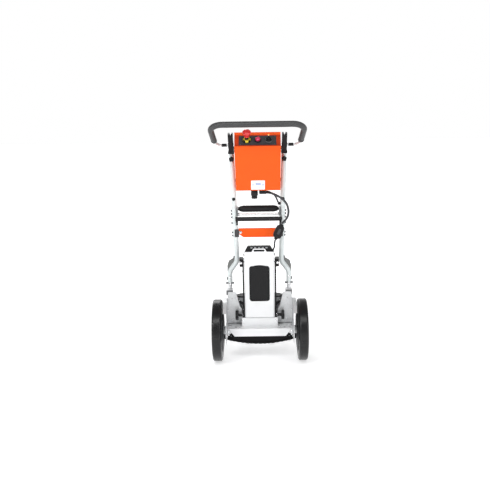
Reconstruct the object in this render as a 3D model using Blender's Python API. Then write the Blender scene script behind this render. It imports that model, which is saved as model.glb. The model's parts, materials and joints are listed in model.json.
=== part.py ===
"""Stair climbing trolley with a powered climbing foot.

Metres, +Z up.  X is across the trolley, -Y is the operator's side and +Y the load side.
The origin lies on the floor, in the middle of the trolley's length and width.
"""
import math

import bmesh
import bpy
from mathutils import Matrix, Quaternion, Vector

# ---------------------------------------------------------------- driving dimensions
GAP = 0.0003                    # running gap between neighbouring pieces

WHEEL_RADIUS = 0.150
TYRE_INNER_X = 0.183
TYRE_OUTER_X = 0.2285
RIM_RADIUS = 0.105
AXLE_Y = -0.050
AXLE_RADIUS = 0.010

TUBE_RADIUS = 0.0127            # uprights
TUBE_BORE = 0.0105
LEAN = math.atan(0.1818)        # uprights lean towards the operator
SPLAY = math.atan(0.027)        # and spread apart upwards
UPRIGHT_TOP = 1.0062
BEND_TOP = 0.477
BEND_BOTTOM = 0.427
UPRIGHT_BOTTOM = 0.3725
SOCKET_X = 0.1455
SOCKET_Y = 0.030
BEND_RADIUS = 0.045

PIVOT_Z = 1.044                 # handle pivot
HANDLE_BAR_Y = -0.260
HANDLE_BAR_Z = 1.135
HANDLE_HALF_WIDTH = 0.2088
HANDLE_BEND = 0.054               # centre-line radius of the bar's corners
HANDLE_TUBE_RADIUS = 0.0065
GRIP_RADIUS = 0.0134
GRIP_BORE = 0.0069
TOE_TIP_Y = -(HANDLE_BAR_Y - GRIP_RADIUS)

BOX_BOTTOM = 0.837              # control box
BOX_FRONT_EDGE = 1.040
BOX_CONSOLE_TOP = 1.089
BOX_TOP = 1.101
BOX_FRONT_Y = -0.125
BOX_REAR_Y = -0.032
BOX_HALF_BOTTOM = 0.1020
BOX_HALF_TOP = 0.1060
BOX_WALL = 0.002
CONSOLE_DEPTH = 0.066
ESTOP_X = -0.0485
BUTTON_X = 0.0015
SELECTOR_X = 0.0506

ROLLER_Z = 0.740
TIE_ROD_Z = 0.716
CROSS_BAR_Z = 0.694
CROSS_PLATE_LOW = 0.601
CROSS_PLATE_HIGH = 0.644

COVER_HALF = 0.0725
COVER_FRONT_Y = -0.0625
COVER_LOW = 0.215
COVER_HIGH = 0.538
FLANGE_HIGH = 0.508
TAB_HIGH = 0.554
WINDOW_HALF = 0.048
WINDOW_LOW = 0.297
WINDOW_HIGH = 0.4685
BATTERY_LOW = 0.2345
BATTERY_HIGH = 0.515

TRAY_Z = 0.1695
LIP_Y = -0.100
LIP_LOW = 0.132
SHEET = 0.0025
SIDE_X = 0.158
WING_Y = -0.0100
ARCH_RADIUS = 0.155
ARCH_START = 134                # degrees about the axle, from +Y
ARCH_END = 24
TOE_Z = 0.036
TOE_THICK = 0.004
TOE_REAR_Y = 0.1185
TOE_HALF = 0.125
LOAD_PANEL_HIGH = 0.300
FOOT_X = 0.0625
FOOT_Y = 0.200

HOUSING_TOP = 0.3055
SOLE_LOW = 0.060
SOLE_RISE = 0.027
SOLE_HALF = 0.1785
GEAR_MODULE = 0.002
GEAR_TEETH = 24
PINION_TEETH = 12
SCREW_RADIUS = 0.007

SIDES = (("left", -1), ("right", 1))


def upright_x(z):
    """Distance of an upright's axis from the middle at height z."""
    return 0.1085 + math.tan(SPLAY) * (z - 0.493)


def upright_y(z):
    """Y of the uprights' axes at height z."""
    return 0.020 - math.tan(LEAN) * (z - 0.5)


PIVOT_X = upright_x(PIVOT_Z)
PIVOT_Y = upright_y(PIVOT_Z)
AXLE_Z = WHEEL_RADIUS

# ---------------------------------------------------------------- materials
FINISHES = {
    "galvanised": ((0.72, 0.73, 0.74), 0.38, 0.9),
    "white_sheet": ((0.83, 0.84, 0.85), 0.42, 0.3),
    "dark_steel": ((0.16, 0.165, 0.17), 0.5, 0.7),
    "black_coat": ((0.018, 0.018, 0.02), 0.42, 0.0),
    "wheel_plastic": ((0.09, 0.092, 0.095), 0.5, 0.0),
    "bright_steel": ((0.78, 0.79, 0.8), 0.2, 1.0),
    "orange_coat": ((0.84, 0.16, 0.02), 0.42, 0.0),
    "panel_grey": ((0.05, 0.05, 0.055), 0.5, 0.0),
    "black_plastic": ((0.02, 0.02, 0.022), 0.45, 0.0),
    "grey_housing": ((0.33, 0.34, 0.35), 0.5, 0.2),
    "foam": ((0.075, 0.08, 0.085), 0.85, 0.0),
    "tyre_rubber": ((0.018, 0.018, 0.019), 0.7, 0.0),
    "sole_rubber": ((0.022, 0.022, 0.023), 0.8, 0.0),
    "cable_jacket": ((0.03, 0.033, 0.038), 0.5, 0.0),
    "red_plastic": ((0.75, 0.03, 0.03), 0.3, 0.0),
    "yellow_plastic": ((0.8, 0.6, 0.03), 0.4, 0.0),
    "circuit_board": ((0.03, 0.2, 0.08), 0.5, 0.0),
    "cell_wrap": ((0.1, 0.2, 0.42), 0.5, 0.0),
}


def finish(name):
    """Return the named material, made once."""
    material = bpy.data.materials.get(name)
    if material is None:
        color, roughness, metallic = FINISHES[name]
        material = bpy.data.materials.new(name)
        material.use_nodes = True
        shader = material.node_tree.nodes["Principled BSDF"]
        shader.inputs["Base Color"].default_value = (*color, 1.0)
        shader.inputs["Roughness"].default_value = roughness
        shader.inputs["Metallic"].default_value = metallic
    return material


# ---------------------------------------------------------------- modelling helpers
def clear_scene():
    for obj in list(bpy.data.objects):
        bpy.data.objects.remove(obj, do_unlink=True)


def add_object(name, bm, material, smooth=False):
    """Turn a bmesh into an object with outward faces."""
    bmesh.ops.recalc_face_normals(bm, faces=bm.faces)
    mesh = bpy.data.meshes.new(name)
    bm.to_mesh(mesh)
    bm.free()
    mesh.materials.append(finish(material))
    if smooth:
        mesh.shade_smooth()
        mesh.set_sharp_from_angle(angle=math.radians(35))
    obj = bpy.data.objects.new(name, mesh)
    bpy.context.scene.collection.objects.link(obj)
    return obj


def block(name, low, high, material, bevel=0.0):
    """A box between two corners, with rounded edges where bevel is given."""
    bm = bmesh.new()
    bmesh.ops.create_cube(bm, size=1.0)
    low = Vector(low)
    high = Vector(high)
    size = high - low
    bmesh.ops.scale(bm, vec=size, verts=bm.verts)
    bmesh.ops.translate(bm, vec=(low + high) / 2, verts=bm.verts)
    if bevel:
        bmesh.ops.bevel(bm, geom=bm.edges[:], offset=bevel, segments=2, affect="EDGES")
    return add_object(name, bm, material, smooth=bool(bevel))


def slab(name, outline, axis, start, end, material):
    """Extrude a closed outline along X, Y or Z.

    The outline holds (y, z) pairs for X, (x, z) pairs for Y and (x, y) pairs for Z.
    """
    place = {
        "X": lambda a, b, c: Vector((c, a, b)),
        "Y": lambda a, b, c: Vector((a, c, b)),
        "Z": lambda a, b, c: Vector((a, b, c)),
    }[axis]
    bm = bmesh.new()
    near = [bm.verts.new(place(a, b, start)) for a, b in outline]
    far = [bm.verts.new(place(a, b, end)) for a, b in outline]
    bm.faces.new(near)
    bm.faces.new(list(reversed(far)))
    for i in range(len(outline)):
        j = (i + 1) % len(outline)
        bm.faces.new((near[i], far[i], far[j], near[j]))
    return add_object(name, bm, material)


def turned(name, profile, centre, direction, material, sides=32):
    """Turn a closed profile of (radius, height) pairs about an axis through centre."""
    turn = Vector((0, 0, 1)).rotation_difference(Vector(direction)).to_matrix()
    centre = Vector(centre)
    bm = bmesh.new()
    rings = []
    for radius, height in profile:
        if radius < 1e-6:
            rings.append([bm.verts.new(centre + turn @ Vector((0, 0, height)))])
            continue
        ring = []
        for k in range(sides):
            angle = math.tau * k / sides
            point = Vector((radius * math.cos(angle), radius * math.sin(angle), height))
            ring.append(bm.verts.new(centre + turn @ point))
        rings.append(ring)
    open_profile = len(rings[0]) == 1 and len(rings[-1]) == 1
    pairs = list(zip(rings, rings[1:]))
    if not open_profile:
        pairs.append((rings[-1], rings[0]))
    for first, second in pairs:
        for k in range(sides):
            nxt = (k + 1) % sides
            corners = [first[k % len(first)], first[nxt % len(first)],
                       second[nxt % len(second)], second[k % len(second)]]
            corners = list(dict.fromkeys(corners))
            if len(corners) > 2:
                bm.faces.new(corners)
    return add_object(name, bm, material, smooth=True)


def rod(name, start, end, radius, material, sides=20, bore=0.0):
    """A straight round bar, or a tube where bore is given."""
    start = Vector(start)
    axis = Vector(end) - start
    length = axis.length
    if bore:
        profile = [(bore, 0), (radius, 0), (radius, length), (bore, length)]
    else:
        profile = [(0, 0), (radius, 0), (radius, length), (0, length)]
    return turned(name, profile, start, axis, material, sides)


def rounded_path(points, radius, steps=4):
    """Round the inner corners of a 3D polyline with arcs."""
    points = [Vector(p) for p in points]
    path = [points[0]]
    for before, corner, after in zip(points, points[1:], points[2:]):
        back = (before - corner).normalized()
        ahead = (after - corner).normalized()
        half = back.angle(ahead) / 2
        setback = radius / math.tan(half)
        centre = corner + (back + ahead).normalized() * (radius / math.sin(half))
        first = corner + back * setback - centre
        last = corner + ahead * setback - centre
        turn = first.rotation_difference(last)
        for k in range(steps + 1):
            path.append(centre + Quaternion().slerp(turn, k / steps) @ first)
    path.append(points[-1])
    return path


def sweep(name, path, radius, material, sides=16, bore=0.0):
    """Sweep a round bar or tube along a path without twisting it."""
    path = [Vector(p) for p in path]
    tangents = []
    for i in range(len(path)):
        step = path[min(i + 1, len(path) - 1)] - path[max(i - 1, 0)]
        tangents.append(step.normalized())
    side = tangents[0].orthogonal().normalized()
    bm = bmesh.new()
    outer, inner = [], []
    for i, point in enumerate(path):
        if i:
            side = tangents[i - 1].rotation_difference(tangents[i]) @ side
        other = tangents[i].cross(side)
        arms = [side * math.cos(math.tau * k / sides) + other * math.sin(math.tau * k / sides)
                for k in range(sides)]
        outer.append([bm.verts.new(point + arm * radius) for arm in arms])
        if bore:
            inner.append([bm.verts.new(point + arm * bore) for arm in arms])
    walls = [outer, inner] if bore else [outer]
    for wall in walls:
        for first, second in zip(wall, wall[1:]):
            for k in range(sides):
                n = (k + 1) % sides
                bm.faces.new((first[k], first[n], second[n], second[k]))
    for end in (0, -1):
        if bore:
            for k in range(sides):
                n = (k + 1) % sides
                bm.faces.new((outer[end][k], outer[end][n], inner[end][n], inner[end][k]))
        else:
            bm.faces.new(outer[end])
    return add_object(name, bm, material, smooth=True)


def combine(target, tool, operation):
    """Boolean a tool into the target; the tool stays as a hidden guide."""
    modifier = target.modifiers.new(operation.lower(), "BOOLEAN")
    modifier.operation = operation
    modifier.solver = "EXACT"
    modifier.object = tool
    tool.hide_render = True
    tool.display_type = "WIRE"


def cut(target, *tools):
    for tool in tools:
        combine(target, tool, "DIFFERENCE")


def fuse(target, *tools):
    for tool in tools:
        combine(target, tool, "UNION")


def place(obj, location, turn=None):
    """Move an object that was modelled about its own origin."""
    matrix = Matrix.Translation(Vector(location))
    if turn is not None:
        matrix = matrix @ turn.to_4x4()
    obj.matrix_world = matrix
    return obj


def set_origin(obj, point):
    """Put an object's origin on a point, such as its joint's axis."""
    point = Vector(point)
    obj.data.transform(Matrix.Translation(-point))
    obj.location = point


def arc(centre, radius, start_deg, end_deg, steps):
    """Points of a circular arc in a plane, as pairs."""
    points = []
    for k in range(steps + 1):
        angle = math.radians(start_deg + (end_deg - start_deg) * k / steps)
        points.append((centre[0] + radius * math.cos(angle),
                       centre[1] + radius * math.sin(angle)))
    return points


def rounded_rectangle(low, high, radius, steps=4):
    """Outline of a rectangle with round corners, anticlockwise."""
    points = []
    points += arc((high[0] - radius, high[1] - radius), radius, 0, 90, steps)
    points += arc((low[0] + radius, high[1] - radius), radius, 90, 180, steps)
    points += arc((low[0] + radius, low[1] + radius), radius, 180, 270, steps)
    points += arc((high[0] - radius, low[1] + radius), radius, 270, 360, steps)
    return points


def mirrored(outline, side):
    """Mirror an outline's first coordinate for the left side."""
    return [(side * a, b) for a, b in outline]


# ---------------------------------------------------------------- frame
def make_uprights():
    for word, side in SIDES:
        corners = [
            (side * upright_x(UPRIGHT_TOP), upright_y(UPRIGHT_TOP), UPRIGHT_TOP),
            (side * upright_x(BEND_TOP), upright_y(BEND_TOP), BEND_TOP),
            (side * SOCKET_X, SOCKET_Y, BEND_BOTTOM),
            (side * SOCKET_X, SOCKET_Y, UPRIGHT_BOTTOM),
        ]
        path = rounded_path(corners, BEND_RADIUS)
        sweep(f"upright_{word}", path, TUBE_RADIUS, "galvanised", 14, TUBE_BORE)


def make_sockets():
    """Chassis tubes that the uprights slip over, with their collars and clamps."""
    for word, side in SIDES:
        x = side * SOCKET_X
        socket = rod(f"frame_socket_{word}", (x, SOCKET_Y, 0.1345), (x, SOCKET_Y, 0.405),
                     0.0102, "galvanised", 24, 0.0085)
        ears = []
        for middle in (0, 180):
            ears += arc((x, SOCKET_Y), 0.0138, middle + 24, middle + 156, 8)
            ear_x = x - 0.0205 * (1 if middle == 0 else -1)
            tilt = 0.0036 * (1 if middle == 0 else -1)
            ears += [(ear_x, SOCKET_Y + tilt), (ear_x, SOCKET_Y - tilt)]
        collar = slab(f"collar_tool_{word}", ears, "Z", 0.3630, 0.3715, "dark_steel")
        clamp = block(f"clamp_tool_{word}", (x - 0.018, WING_Y + 0.0035, 0.3130),
                      (x + 0.014, SOCKET_Y + 0.016, 0.3380), "galvanised")
        bore = rod(f"clamp_bore_{word}", (x, SOCKET_Y, 0.30), (x, SOCKET_Y, 0.40),
                   0.0094, "galvanised", 24)
        cut(clamp, bore)
        cut(collar, bore)
        fuse(socket, collar, clamp)


def make_cross_members():
    """The back roller, its brackets and the bars between the uprights."""
    inner = upright_x(ROLLER_Z) - TUBE_RADIUS - GAP
    bracket_y = upright_y(ROLLER_Z)
    roller_y = bracket_y + 0.013
    for word, side in SIDES:
        outline = [(bracket_y - 0.022, 0.7075), (bracket_y + 0.022, 0.7075),
                   (bracket_y + 0.026, 0.7455), (bracket_y + 0.018, 0.753),
                   (bracket_y - 0.018, 0.753), (bracket_y - 0.026, 0.7455)]
        low, high = inner - 0.0042, inner - 0.0012
        bracket = slab(f"roller_bracket_{word}", outline, "X", side * low, side * high,
                       "dark_steel")
        boss = rod(f"bracket_boss_{word}", (side * (low + 0.001), bracket_y, 0.728),
                   (side * (inner - GAP), bracket_y, 0.728), 0.006, "dark_steel", 16)
        pin_hole = rod(f"bracket_hole_{word}", (side * 0.08, roller_y, ROLLER_Z),
                       (side * 0.12, roller_y, ROLLER_Z), 0.0045, "dark_steel", 20)
        fuse(bracket, boss)
        cut(bracket, pin_hole)
    end = inner - 0.0042 - GAP
    pin = inner - 0.0014
    half = [(0, pin), (0.004, pin), (0.004, end), (0.0080, end), (0.0080, 0.0925),
            (0.0124, 0.0895), (0.0158, 0.0735)]
    profile = [(radius, -x) for radius, x in half]
    profile += list(reversed(half))
    roller = turned("back_roller", profile, (0, 0, 0), (1, 0, 0), "black_plastic", 20)
    roller.location = (0, roller_y, ROLLER_Z)
    tie_y = bracket_y - 0.012
    rod("tie_rod", (-end, tie_y, TIE_ROD_Z), (end, tie_y, TIE_ROD_Z), 0.0052,
        "bright_steel", 20)

    bar_x = upright_x(CROSS_BAR_Z) - 0.0035
    bar_y = upright_y(CROSS_BAR_Z) - TUBE_RADIUS / math.cos(LEAN) - 0.0109
    bar = rod("cross_bar", (-bar_x, bar_y, CROSS_BAR_Z), (bar_x, bar_y, CROSS_BAR_Z),
              0.0103, "black_plastic", 18)
    for word, side in SIDES:
        gusset = slab(f"gusset_tool_{word}", [(bar_y, 0.700), (bar_y, 0.664),
                      (bar_y + 0.004, 0.664), (bar_y + 0.004, 0.700)], "X",
                      side * 0.0985, side * 0.1085, "black_plastic")
        fuse(bar, gusset)

    plate_y = upright_y((CROSS_PLATE_LOW + CROSS_PLATE_HIGH) / 2)
    half = upright_x(CROSS_PLATE_LOW) - TUBE_RADIUS - 0.0008
    chamfer = 0.017
    outline = [(-half, CROSS_PLATE_HIGH), (-half, CROSS_PLATE_LOW + chamfer),
               (-half + 0.024, CROSS_PLATE_LOW), (half - 0.024, CROSS_PLATE_LOW),
               (half, CROSS_PLATE_LOW + chamfer), (half, CROSS_PLATE_HIGH)]
    plate = slab("cross_plate", outline, "Y", plate_y - 0.0085, plate_y - 0.006,
                 "orange_coat")
    flange = block("cross_plate_flange", (-half, plate_y - 0.0085, CROSS_PLATE_HIGH - SHEET),
                   (half, plate_y + 0.010, CROSS_PLATE_HIGH), "orange_coat")
    fuse(plate, flange)


# ---------------------------------------------------------------- chassis
def wing_outline():
    """Front view of the right side plate's front face."""
    return [(0.1160, 0.3295), (0.1535, 0.3295), (0.1575, 0.315), (0.1575, TRAY_Z + 0.004),
            (0.0885, TRAY_Z + 0.004), (0.0885, 0.243), (0.0980, 0.258)]


def make_chassis_sides():
    """Side plates with a front wing and a rolled arch around the wheel's top."""
    for word, side in SIDES:
        outline = arc((AXLE_Y, AXLE_Z), ARCH_RADIUS, 186, -6, 20)
        outline += [(AXLE_Y + 0.148, 0.124), (AXLE_Y - 0.148, 0.124)]
        plate = slab(f"side_plate_{word}", outline, "X", side * SIDE_X,
                     side * (SIDE_X + SHEET), "galvanised")
        wing = slab(f"wing_tool_{word}", mirrored(wing_outline(), side), "Y",
                    WING_Y, WING_Y + SHEET, "galvanised")
        join = block(f"wing_join_tool_{word}",
                     (min(side * 0.1570, side * 0.1585), WING_Y, 0.18),
                     (max(side * 0.1570, side * 0.1585), WING_Y + SHEET, 0.285), "galvanised")
        rim = arc((AXLE_Y, AXLE_Z), ARCH_RADIUS, ARCH_START, ARCH_END, 12)
        rim += arc((AXLE_Y, AXLE_Z), ARCH_RADIUS - SHEET, ARCH_END, ARCH_START, 12)
        arch = slab(f"arch_tool_{word}", rim, "X", side * (SIDE_X + 0.001),
                    side * 0.1752, "galvanised")
        bearing = rod(f"bearing_tool_{word}", (side * (SIDE_X - 0.016), AXLE_Y, AXLE_Z),
                      (side * 0.1790, AXLE_Y, AXLE_Z), 0.020, "galvanised", 28)
        bore = rod(f"bearing_bore_{word}", (side * 0.13, AXLE_Y, AXLE_Z),
                   (side * 0.19, AXLE_Y, AXLE_Z), AXLE_RADIUS + GAP, "galvanised", 32)
        fuse(plate, wing, join, arch, bearing)
        cut(plate, bore)


def make_tray():
    """Folded floor of the chassis with its front lip and the panel under the cover."""
    half = SIDE_X - 0.0005
    tray = block("tray", (-half, LIP_Y, TRAY_Z - SHEET), (half, 0.0905, TRAY_Z),
                 "white_sheet")
    outline = [(-0.1455, TRAY_Z), (-0.1455, 0.160), (-0.1230, LIP_LOW),
               (0.1230, LIP_LOW), (0.1455, 0.160), (0.1455, TRAY_Z)]
    lip = slab("lip_tool", outline, "Y", LIP_Y - 0.0015, LIP_Y + 0.001, "white_sheet")
    panel = block("panel_tool", (-0.0870, -0.0560, TRAY_Z - 0.001),
                  (0.0870, -0.0535, 0.2120), "white_sheet")
    fuse(tray, lip, panel)
    cut(tray, rod("screw_hole_tool", (0, SOCKET_Y, 0.1), (0, SOCKET_Y, 0.2),
                  0.0095, "white_sheet", 24))
    for word, side in SIDES:
        x = side * SOCKET_X
        cut(tray, rod(f"socket_hole_{word}", (x, SOCKET_Y, 0.1), (x, SOCKET_Y, 0.2),
                      0.0106, "white_sheet", 24))
        low, high = sorted((side * 0.1460, side * 0.1620))
        cut(tray, block(f"lip_corner_{word}", (low, -0.12, 0.1), (high, -0.0985, 0.2),
                        "white_sheet"))
        low, high = sorted((side * 0.1400, side * 0.1600))
        cut(tray, block(f"bearing_relief_{word}", (low, AXLE_Y - 0.0225, 0.15),
                        (high, AXLE_Y + 0.0225, 0.20), "white_sheet"))


def load_plane_y(z):
    """Y of the plane that a load leans against."""
    return TOE_REAR_Y - math.tan(LEAN) * (z - TOE_Z - TOE_THICK)


def make_load_side():
    """Back panel, the toe plate that meets its foot, and two rubber feet."""
    low, high = TOE_Z, LOAD_PANEL_HIGH
    outline = [(load_plane_y(low) - 0.003, low), (load_plane_y(low), low),
               (load_plane_y(high), high), (load_plane_y(high) - 0.003, high)]
    slab("load_panel", outline, "X", -(SIDE_X - 0.001), SIDE_X - 0.001, "galvanised")

    rear, corner = TOE_REAR_Y + 0.0012, 0.030
    tip = [(-TOE_HALF + 0.020, TOE_TIP_Y), (-TOE_HALF, TOE_TIP_Y - corner), (-TOE_HALF, rear),
           (TOE_HALF, rear), (TOE_HALF, TOE_TIP_Y - corner), (TOE_HALF - 0.020, TOE_TIP_Y)]
    slab("toe_plate", tip, "Z", TOE_Z, TOE_Z + TOE_THICK, "galvanised")
    for word, side in SIDES:
        top = TOE_Z - GAP
        profile = [(0, 0), (0.017, 0), (0.019, 0.003), (0.014, top - 0.004),
                   (0.014, top), (0, top)]
        turned(f"support_foot_{word}", profile, (side * FOOT_X, FOOT_Y, 0), (0, 0, 1),
               "sole_rubber", 20)


def make_wheels():
    middle = (TYRE_INNER_X + TYRE_OUTER_X) / 2
    half = (TYRE_OUTER_X - TYRE_INNER_X) / 2
    shoulder = 0.008
    reach = middle + 0.0195
    rod("axle", (-reach, AXLE_Y, AXLE_Z), (reach, AXLE_Y, AXLE_Z), AXLE_RADIUS,
        "bright_steel", 28)
    for word, side in SIDES:
        centre = (side * middle, AXLE_Y, AXLE_Z)
        seat = RIM_RADIUS + GAP
        tyre = [(seat, half - 0.006), (seat + 0.010, half)]
        tyre += [(r, h) for r, h in ((WHEEL_RADIUS - shoulder, half),
                                     (WHEEL_RADIUS - 0.0023, half - 0.0023),
                                     (WHEEL_RADIUS, half - shoulder))]
        tyre += [(r, -h) for r, h in reversed(tyre)]
        wheel = turned(f"tyre_{word}", tyre, (0, 0, 0), (1, 0, 0), "tyre_rubber", 44)
        wheel.location = centre
        bore = AXLE_RADIUS + GAP + 0.0002
        hub = [(bore, 0.019), (0.024, 0.019), (0.026, 0.006), (0.088, 0.003),
               (0.094, half - 0.008), (RIM_RADIUS, half - 0.008)]
        hub += [(r, -h) for r, h in reversed(hub)]
        rim = turned(f"wheel_hub_{word}", hub, (0, 0, 0), (1, 0, 0), "wheel_plastic", 28)
        rim.location = centre


# ---------------------------------------------------------------- climbing drive
def gear(name, teeth, centre, low, high, bore, material, phase):
    """A spur gear with straight-sided teeth, thinned a little for backlash."""
    pitch = GEAR_MODULE * teeth / 2
    root = pitch - 1.15 * GEAR_MODULE
    tip = pitch + 0.80 * GEAR_MODULE
    outline = []
    for tooth in range(teeth):
        for radius, share in ((root, -0.34), (tip, -0.12), (tip, 0.12), (root, 0.34)):
            angle = math.tau * (tooth + share) / teeth + phase
            outline.append((radius * math.cos(angle), radius * math.sin(angle)))
    wheel = slab(name, outline, "Z", low - centre[2], high - centre[2], material)
    hole = rod(f"{name}_bore", (0, 0, -0.05), (0, 0, 0.05), bore, material, 24)
    cut(wheel, hole)
    wheel.location = centre
    hole.location = centre
    return wheel


def make_drive():
    """Gearbox housing, motor, gears and the screw guard above them."""
    middle_y = 0.031
    levels = ((0.1725, 0.074, 0.0300), (0.215, 0.082, 0.0305), (0.290, 0.108, 0.0315),
              (0.2985, 0.108, 0.0315))
    shell = stacked("drive_housing", levels, middle_y, "grey_housing")
    inner = [(z + (SHEET if i == 0 else 0.0), hx - 0.003, hy - 0.003)
             for i, (z, hx, hy) in enumerate(levels)]
    inner.append((0.31, 0.105, 0.0285))
    cut(shell, stacked("housing_hollow", inner, middle_y, "grey_housing"))
    cut(shell, rod("housing_hole", (0, SOCKET_Y, 0.15), (0, SOCKET_Y, 0.19), 0.0095,
                   "grey_housing", 24))
    lid_levels = ((0.2988, 0.111, 0.0335), (0.3035, 0.111, 0.0335),
                  (HOUSING_TOP, 0.109, 0.0315))
    lid = stacked("housing_lid", lid_levels, middle_y, "black_plastic")
    cut(lid, rod("lid_hole", (0, SOCKET_Y, 0.28), (0, SOCKET_Y, 0.32), 0.0095,
                 "black_plastic", 18))

    screw = (0, SOCKET_Y)
    distance = GEAR_MODULE * (GEAR_TEETH + PINION_TEETH) / 2
    motor = (distance, SOCKET_Y)
    gear("nut_gear", GEAR_TEETH, (*screw, 0.192), 0.187, 0.197, SCREW_RADIUS + GAP,
         "bright_steel", 0.0)
    half_tooth = math.pi / PINION_TEETH
    gear("motor_pinion", PINION_TEETH, (*motor, 0.192), 0.186, 0.198, 0.0033,
         "bright_steel", half_tooth)
    can = 0.0215
    profile = [(0, 0.181), (0.003, 0.181), (0.003, 0.2005), (0.008, 0.2005),
               (0.008, 0.2030), (can, 0.2030), (can, 0.286), (0, 0.286)]
    turned("drive_motor", profile, (*motor, 0), (0, 0, 1),
           "dark_steel", 24)
    guard = [(0.0095, 0.3058), (0.017, 0.3058), (0.017, 0.311), (0.0125, 0.311),
             (0.0125, 0.503), (0, 0.505), (0, 0.500), (0.0095, 0.500)]
    turned_closed("screw_guard", guard, (*screw, 0), "black_plastic", 16)


def turned_closed(name, profile, centre, material, sides):
    """Turn a cup-like profile whose first and last points are off the axis."""
    bm = bmesh.new()
    spots = [bm.verts.new((r, 0, z)) for r, z in profile]
    edges = [bm.edges.new((a, b)) for a, b in zip(spots, spots[1:] + spots[:1])
             if a.co.x > 1e-6 or b.co.x > 1e-6]
    bmesh.ops.spin(bm, geom=spots + edges, cent=(0, 0, 0), axis=(0, 0, 1),
                   angle=math.tau, steps=sides, use_merge=True)
    bmesh.ops.remove_doubles(bm, verts=bm.verts, dist=0.00001)
    bmesh.ops.translate(bm, vec=centre, verts=bm.verts)
    return add_object(name, bm, material, smooth=True)


def stacked(name, levels, middle_y, material):
    """Loft rounded rectangles (height, half width, half depth) into a closed solid."""
    bm = bmesh.new()
    rings = []
    for z, half_x, half_y in levels:
        outline = rounded_rectangle((-half_x, -half_y), (half_x, half_y),
                                    half_y * 0.75, 5)
        rings.append([bm.verts.new((x, y + middle_y, z)) for x, y in outline])
    count = len(rings[0])
    for first, second in zip(rings, rings[1:]):
        for k in range(count):
            n = (k + 1) % count
            bm.faces.new((first[k], first[n], second[n], second[k]))
    bm.faces.new(rings[0])
    bm.faces.new(rings[-1])
    return add_object(name, bm, material, smooth=True)


def sole_curve(x):
    """Height of the sole's underside across the trolley."""
    return SOLE_LOW + SOLE_RISE * (x / SOLE_HALF) ** 2


def make_climbing_foot():
    """Curved foot beam with its two guide rods, the rubber sole and the lead screw."""
    steps = 24
    thick = 0.006
    xs = [SOLE_HALF * (2 * k / steps - 1) for k in range(steps + 1)]
    sole = [(x, sole_curve(x)) for x in xs]
    sole += [(x, sole_curve(x) + thick) for x in reversed(xs)]
    slab("foot_sole", sole, "Y", 0.000, 0.058, "sole_rubber")

    low = [(x, sole_curve(x) + thick + GAP) for x in xs]
    beam = low + [(SOLE_HALF, 0.0975), (0.1520, 0.1290), (-0.1520, 0.1290),
                  (-SOLE_HALF, 0.0975)]
    foot = slab("climbing_foot", beam, "Y", 0.006, 0.053, "black_coat")
    cut(foot, rod("screw_seat", (0, SOCKET_Y, 0.112), (0, SOCKET_Y, 0.14),
                  SCREW_RADIUS + GAP, "black_plastic", 18))
    for word, side in SIDES:
        x = side * SOCKET_X
        fuse(foot, rod(f"guide_rod_{word}", (x, SOCKET_Y, 0.115), (x, SOCKET_Y, 0.398),
                       0.0080, "bright_steel", 20))
    rod("lead_screw", (0, SOCKET_Y, 0.1125), (0, SOCKET_Y, 0.492), SCREW_RADIUS,
        "bright_steel", 20)


# ---------------------------------------------------------------- battery and cover
def battery_outline(inset):
    """Plan of the battery case, with its front corners cut off."""
    half, front, back, cut_off = 0.0700 - inset, -0.0575 + inset, -0.0060 - inset, 0.011
    return [(-half, back), (-half, front + cut_off), (-half + cut_off, front),
            (half - cut_off, front), (half, front + cut_off), (half, back)]


def make_battery():
    """Battery case, its cells, and the lid whose handle has a finger pocket behind."""
    wall = 0.0025
    case = slab("battery_case", battery_outline(0.0), "Z", BATTERY_LOW, BATTERY_HIGH,
                "black_plastic")
    cut(case, slab("case_hollow", battery_outline(wall), "Z", BATTERY_LOW + wall,
                   BATTERY_HIGH + 0.02, "black_plastic"))
    slab("cell_pack", battery_outline(0.005), "Z", BATTERY_LOW + 0.004,
         BATTERY_HIGH - 0.020, "cell_wrap")

    lid = slab("battery_lid", battery_outline(0.0), "Z", BATTERY_HIGH + GAP, 0.5225,
               "black_plastic")
    foot, top = 0.5200, 0.5630
    outline = [(-0.0760, foot - 0.0040), (-0.0760, foot + 0.004), (-0.0550, top),
               (0.0550, top), (0.0760, foot + 0.004), (0.0760, foot - 0.0040)]
    handle = slab("carry_handle_tool", outline, "Y", -0.0470, -0.0190, "black_plastic")
    inner = [(-0.0560, 0.5235), (-0.0445, 0.5510), (0.0445, 0.5510), (0.0560, 0.5235)]
    cut(handle, slab("carry_pocket_tool", inner, "Y", -0.0430, 0.01, "black_plastic"))
    fuse(lid, handle)


def make_battery_frame():
    """Two rails with arms to the uprights, joined by the shelf under the battery."""
    frame = block("battery_frame", (-0.0810, -0.0285, 0.2255), (0.0810, -0.0070, 0.2320),
                  "black_coat")
    for word, side in SIDES:
        def span(near, far):
            return sorted((side * near, side * far))
        low, high = span(0.0745, 0.0812)
        rail = block(f"rail_tool_{word}", (low, -0.0530, TRAY_Z + GAP),
                     (high, -0.0200, 0.5020), "black_plastic")
        low, high = span(0.0780, 0.0948)
        arm = block(f"arm_tool_{word}", (low, -0.0530, 0.4640), (high, 0.0100, 0.5015),
                    "black_plastic")
        low, high = span(0.0700, 0.1000)
        hole = rod(f"arm_hole_{word}", (low, -0.0420, 0.4830), (high, -0.0420, 0.4830),
                   0.0030, "black_plastic", 16)
        fuse(frame, rail, arm)
        cut(frame, hole)


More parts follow.
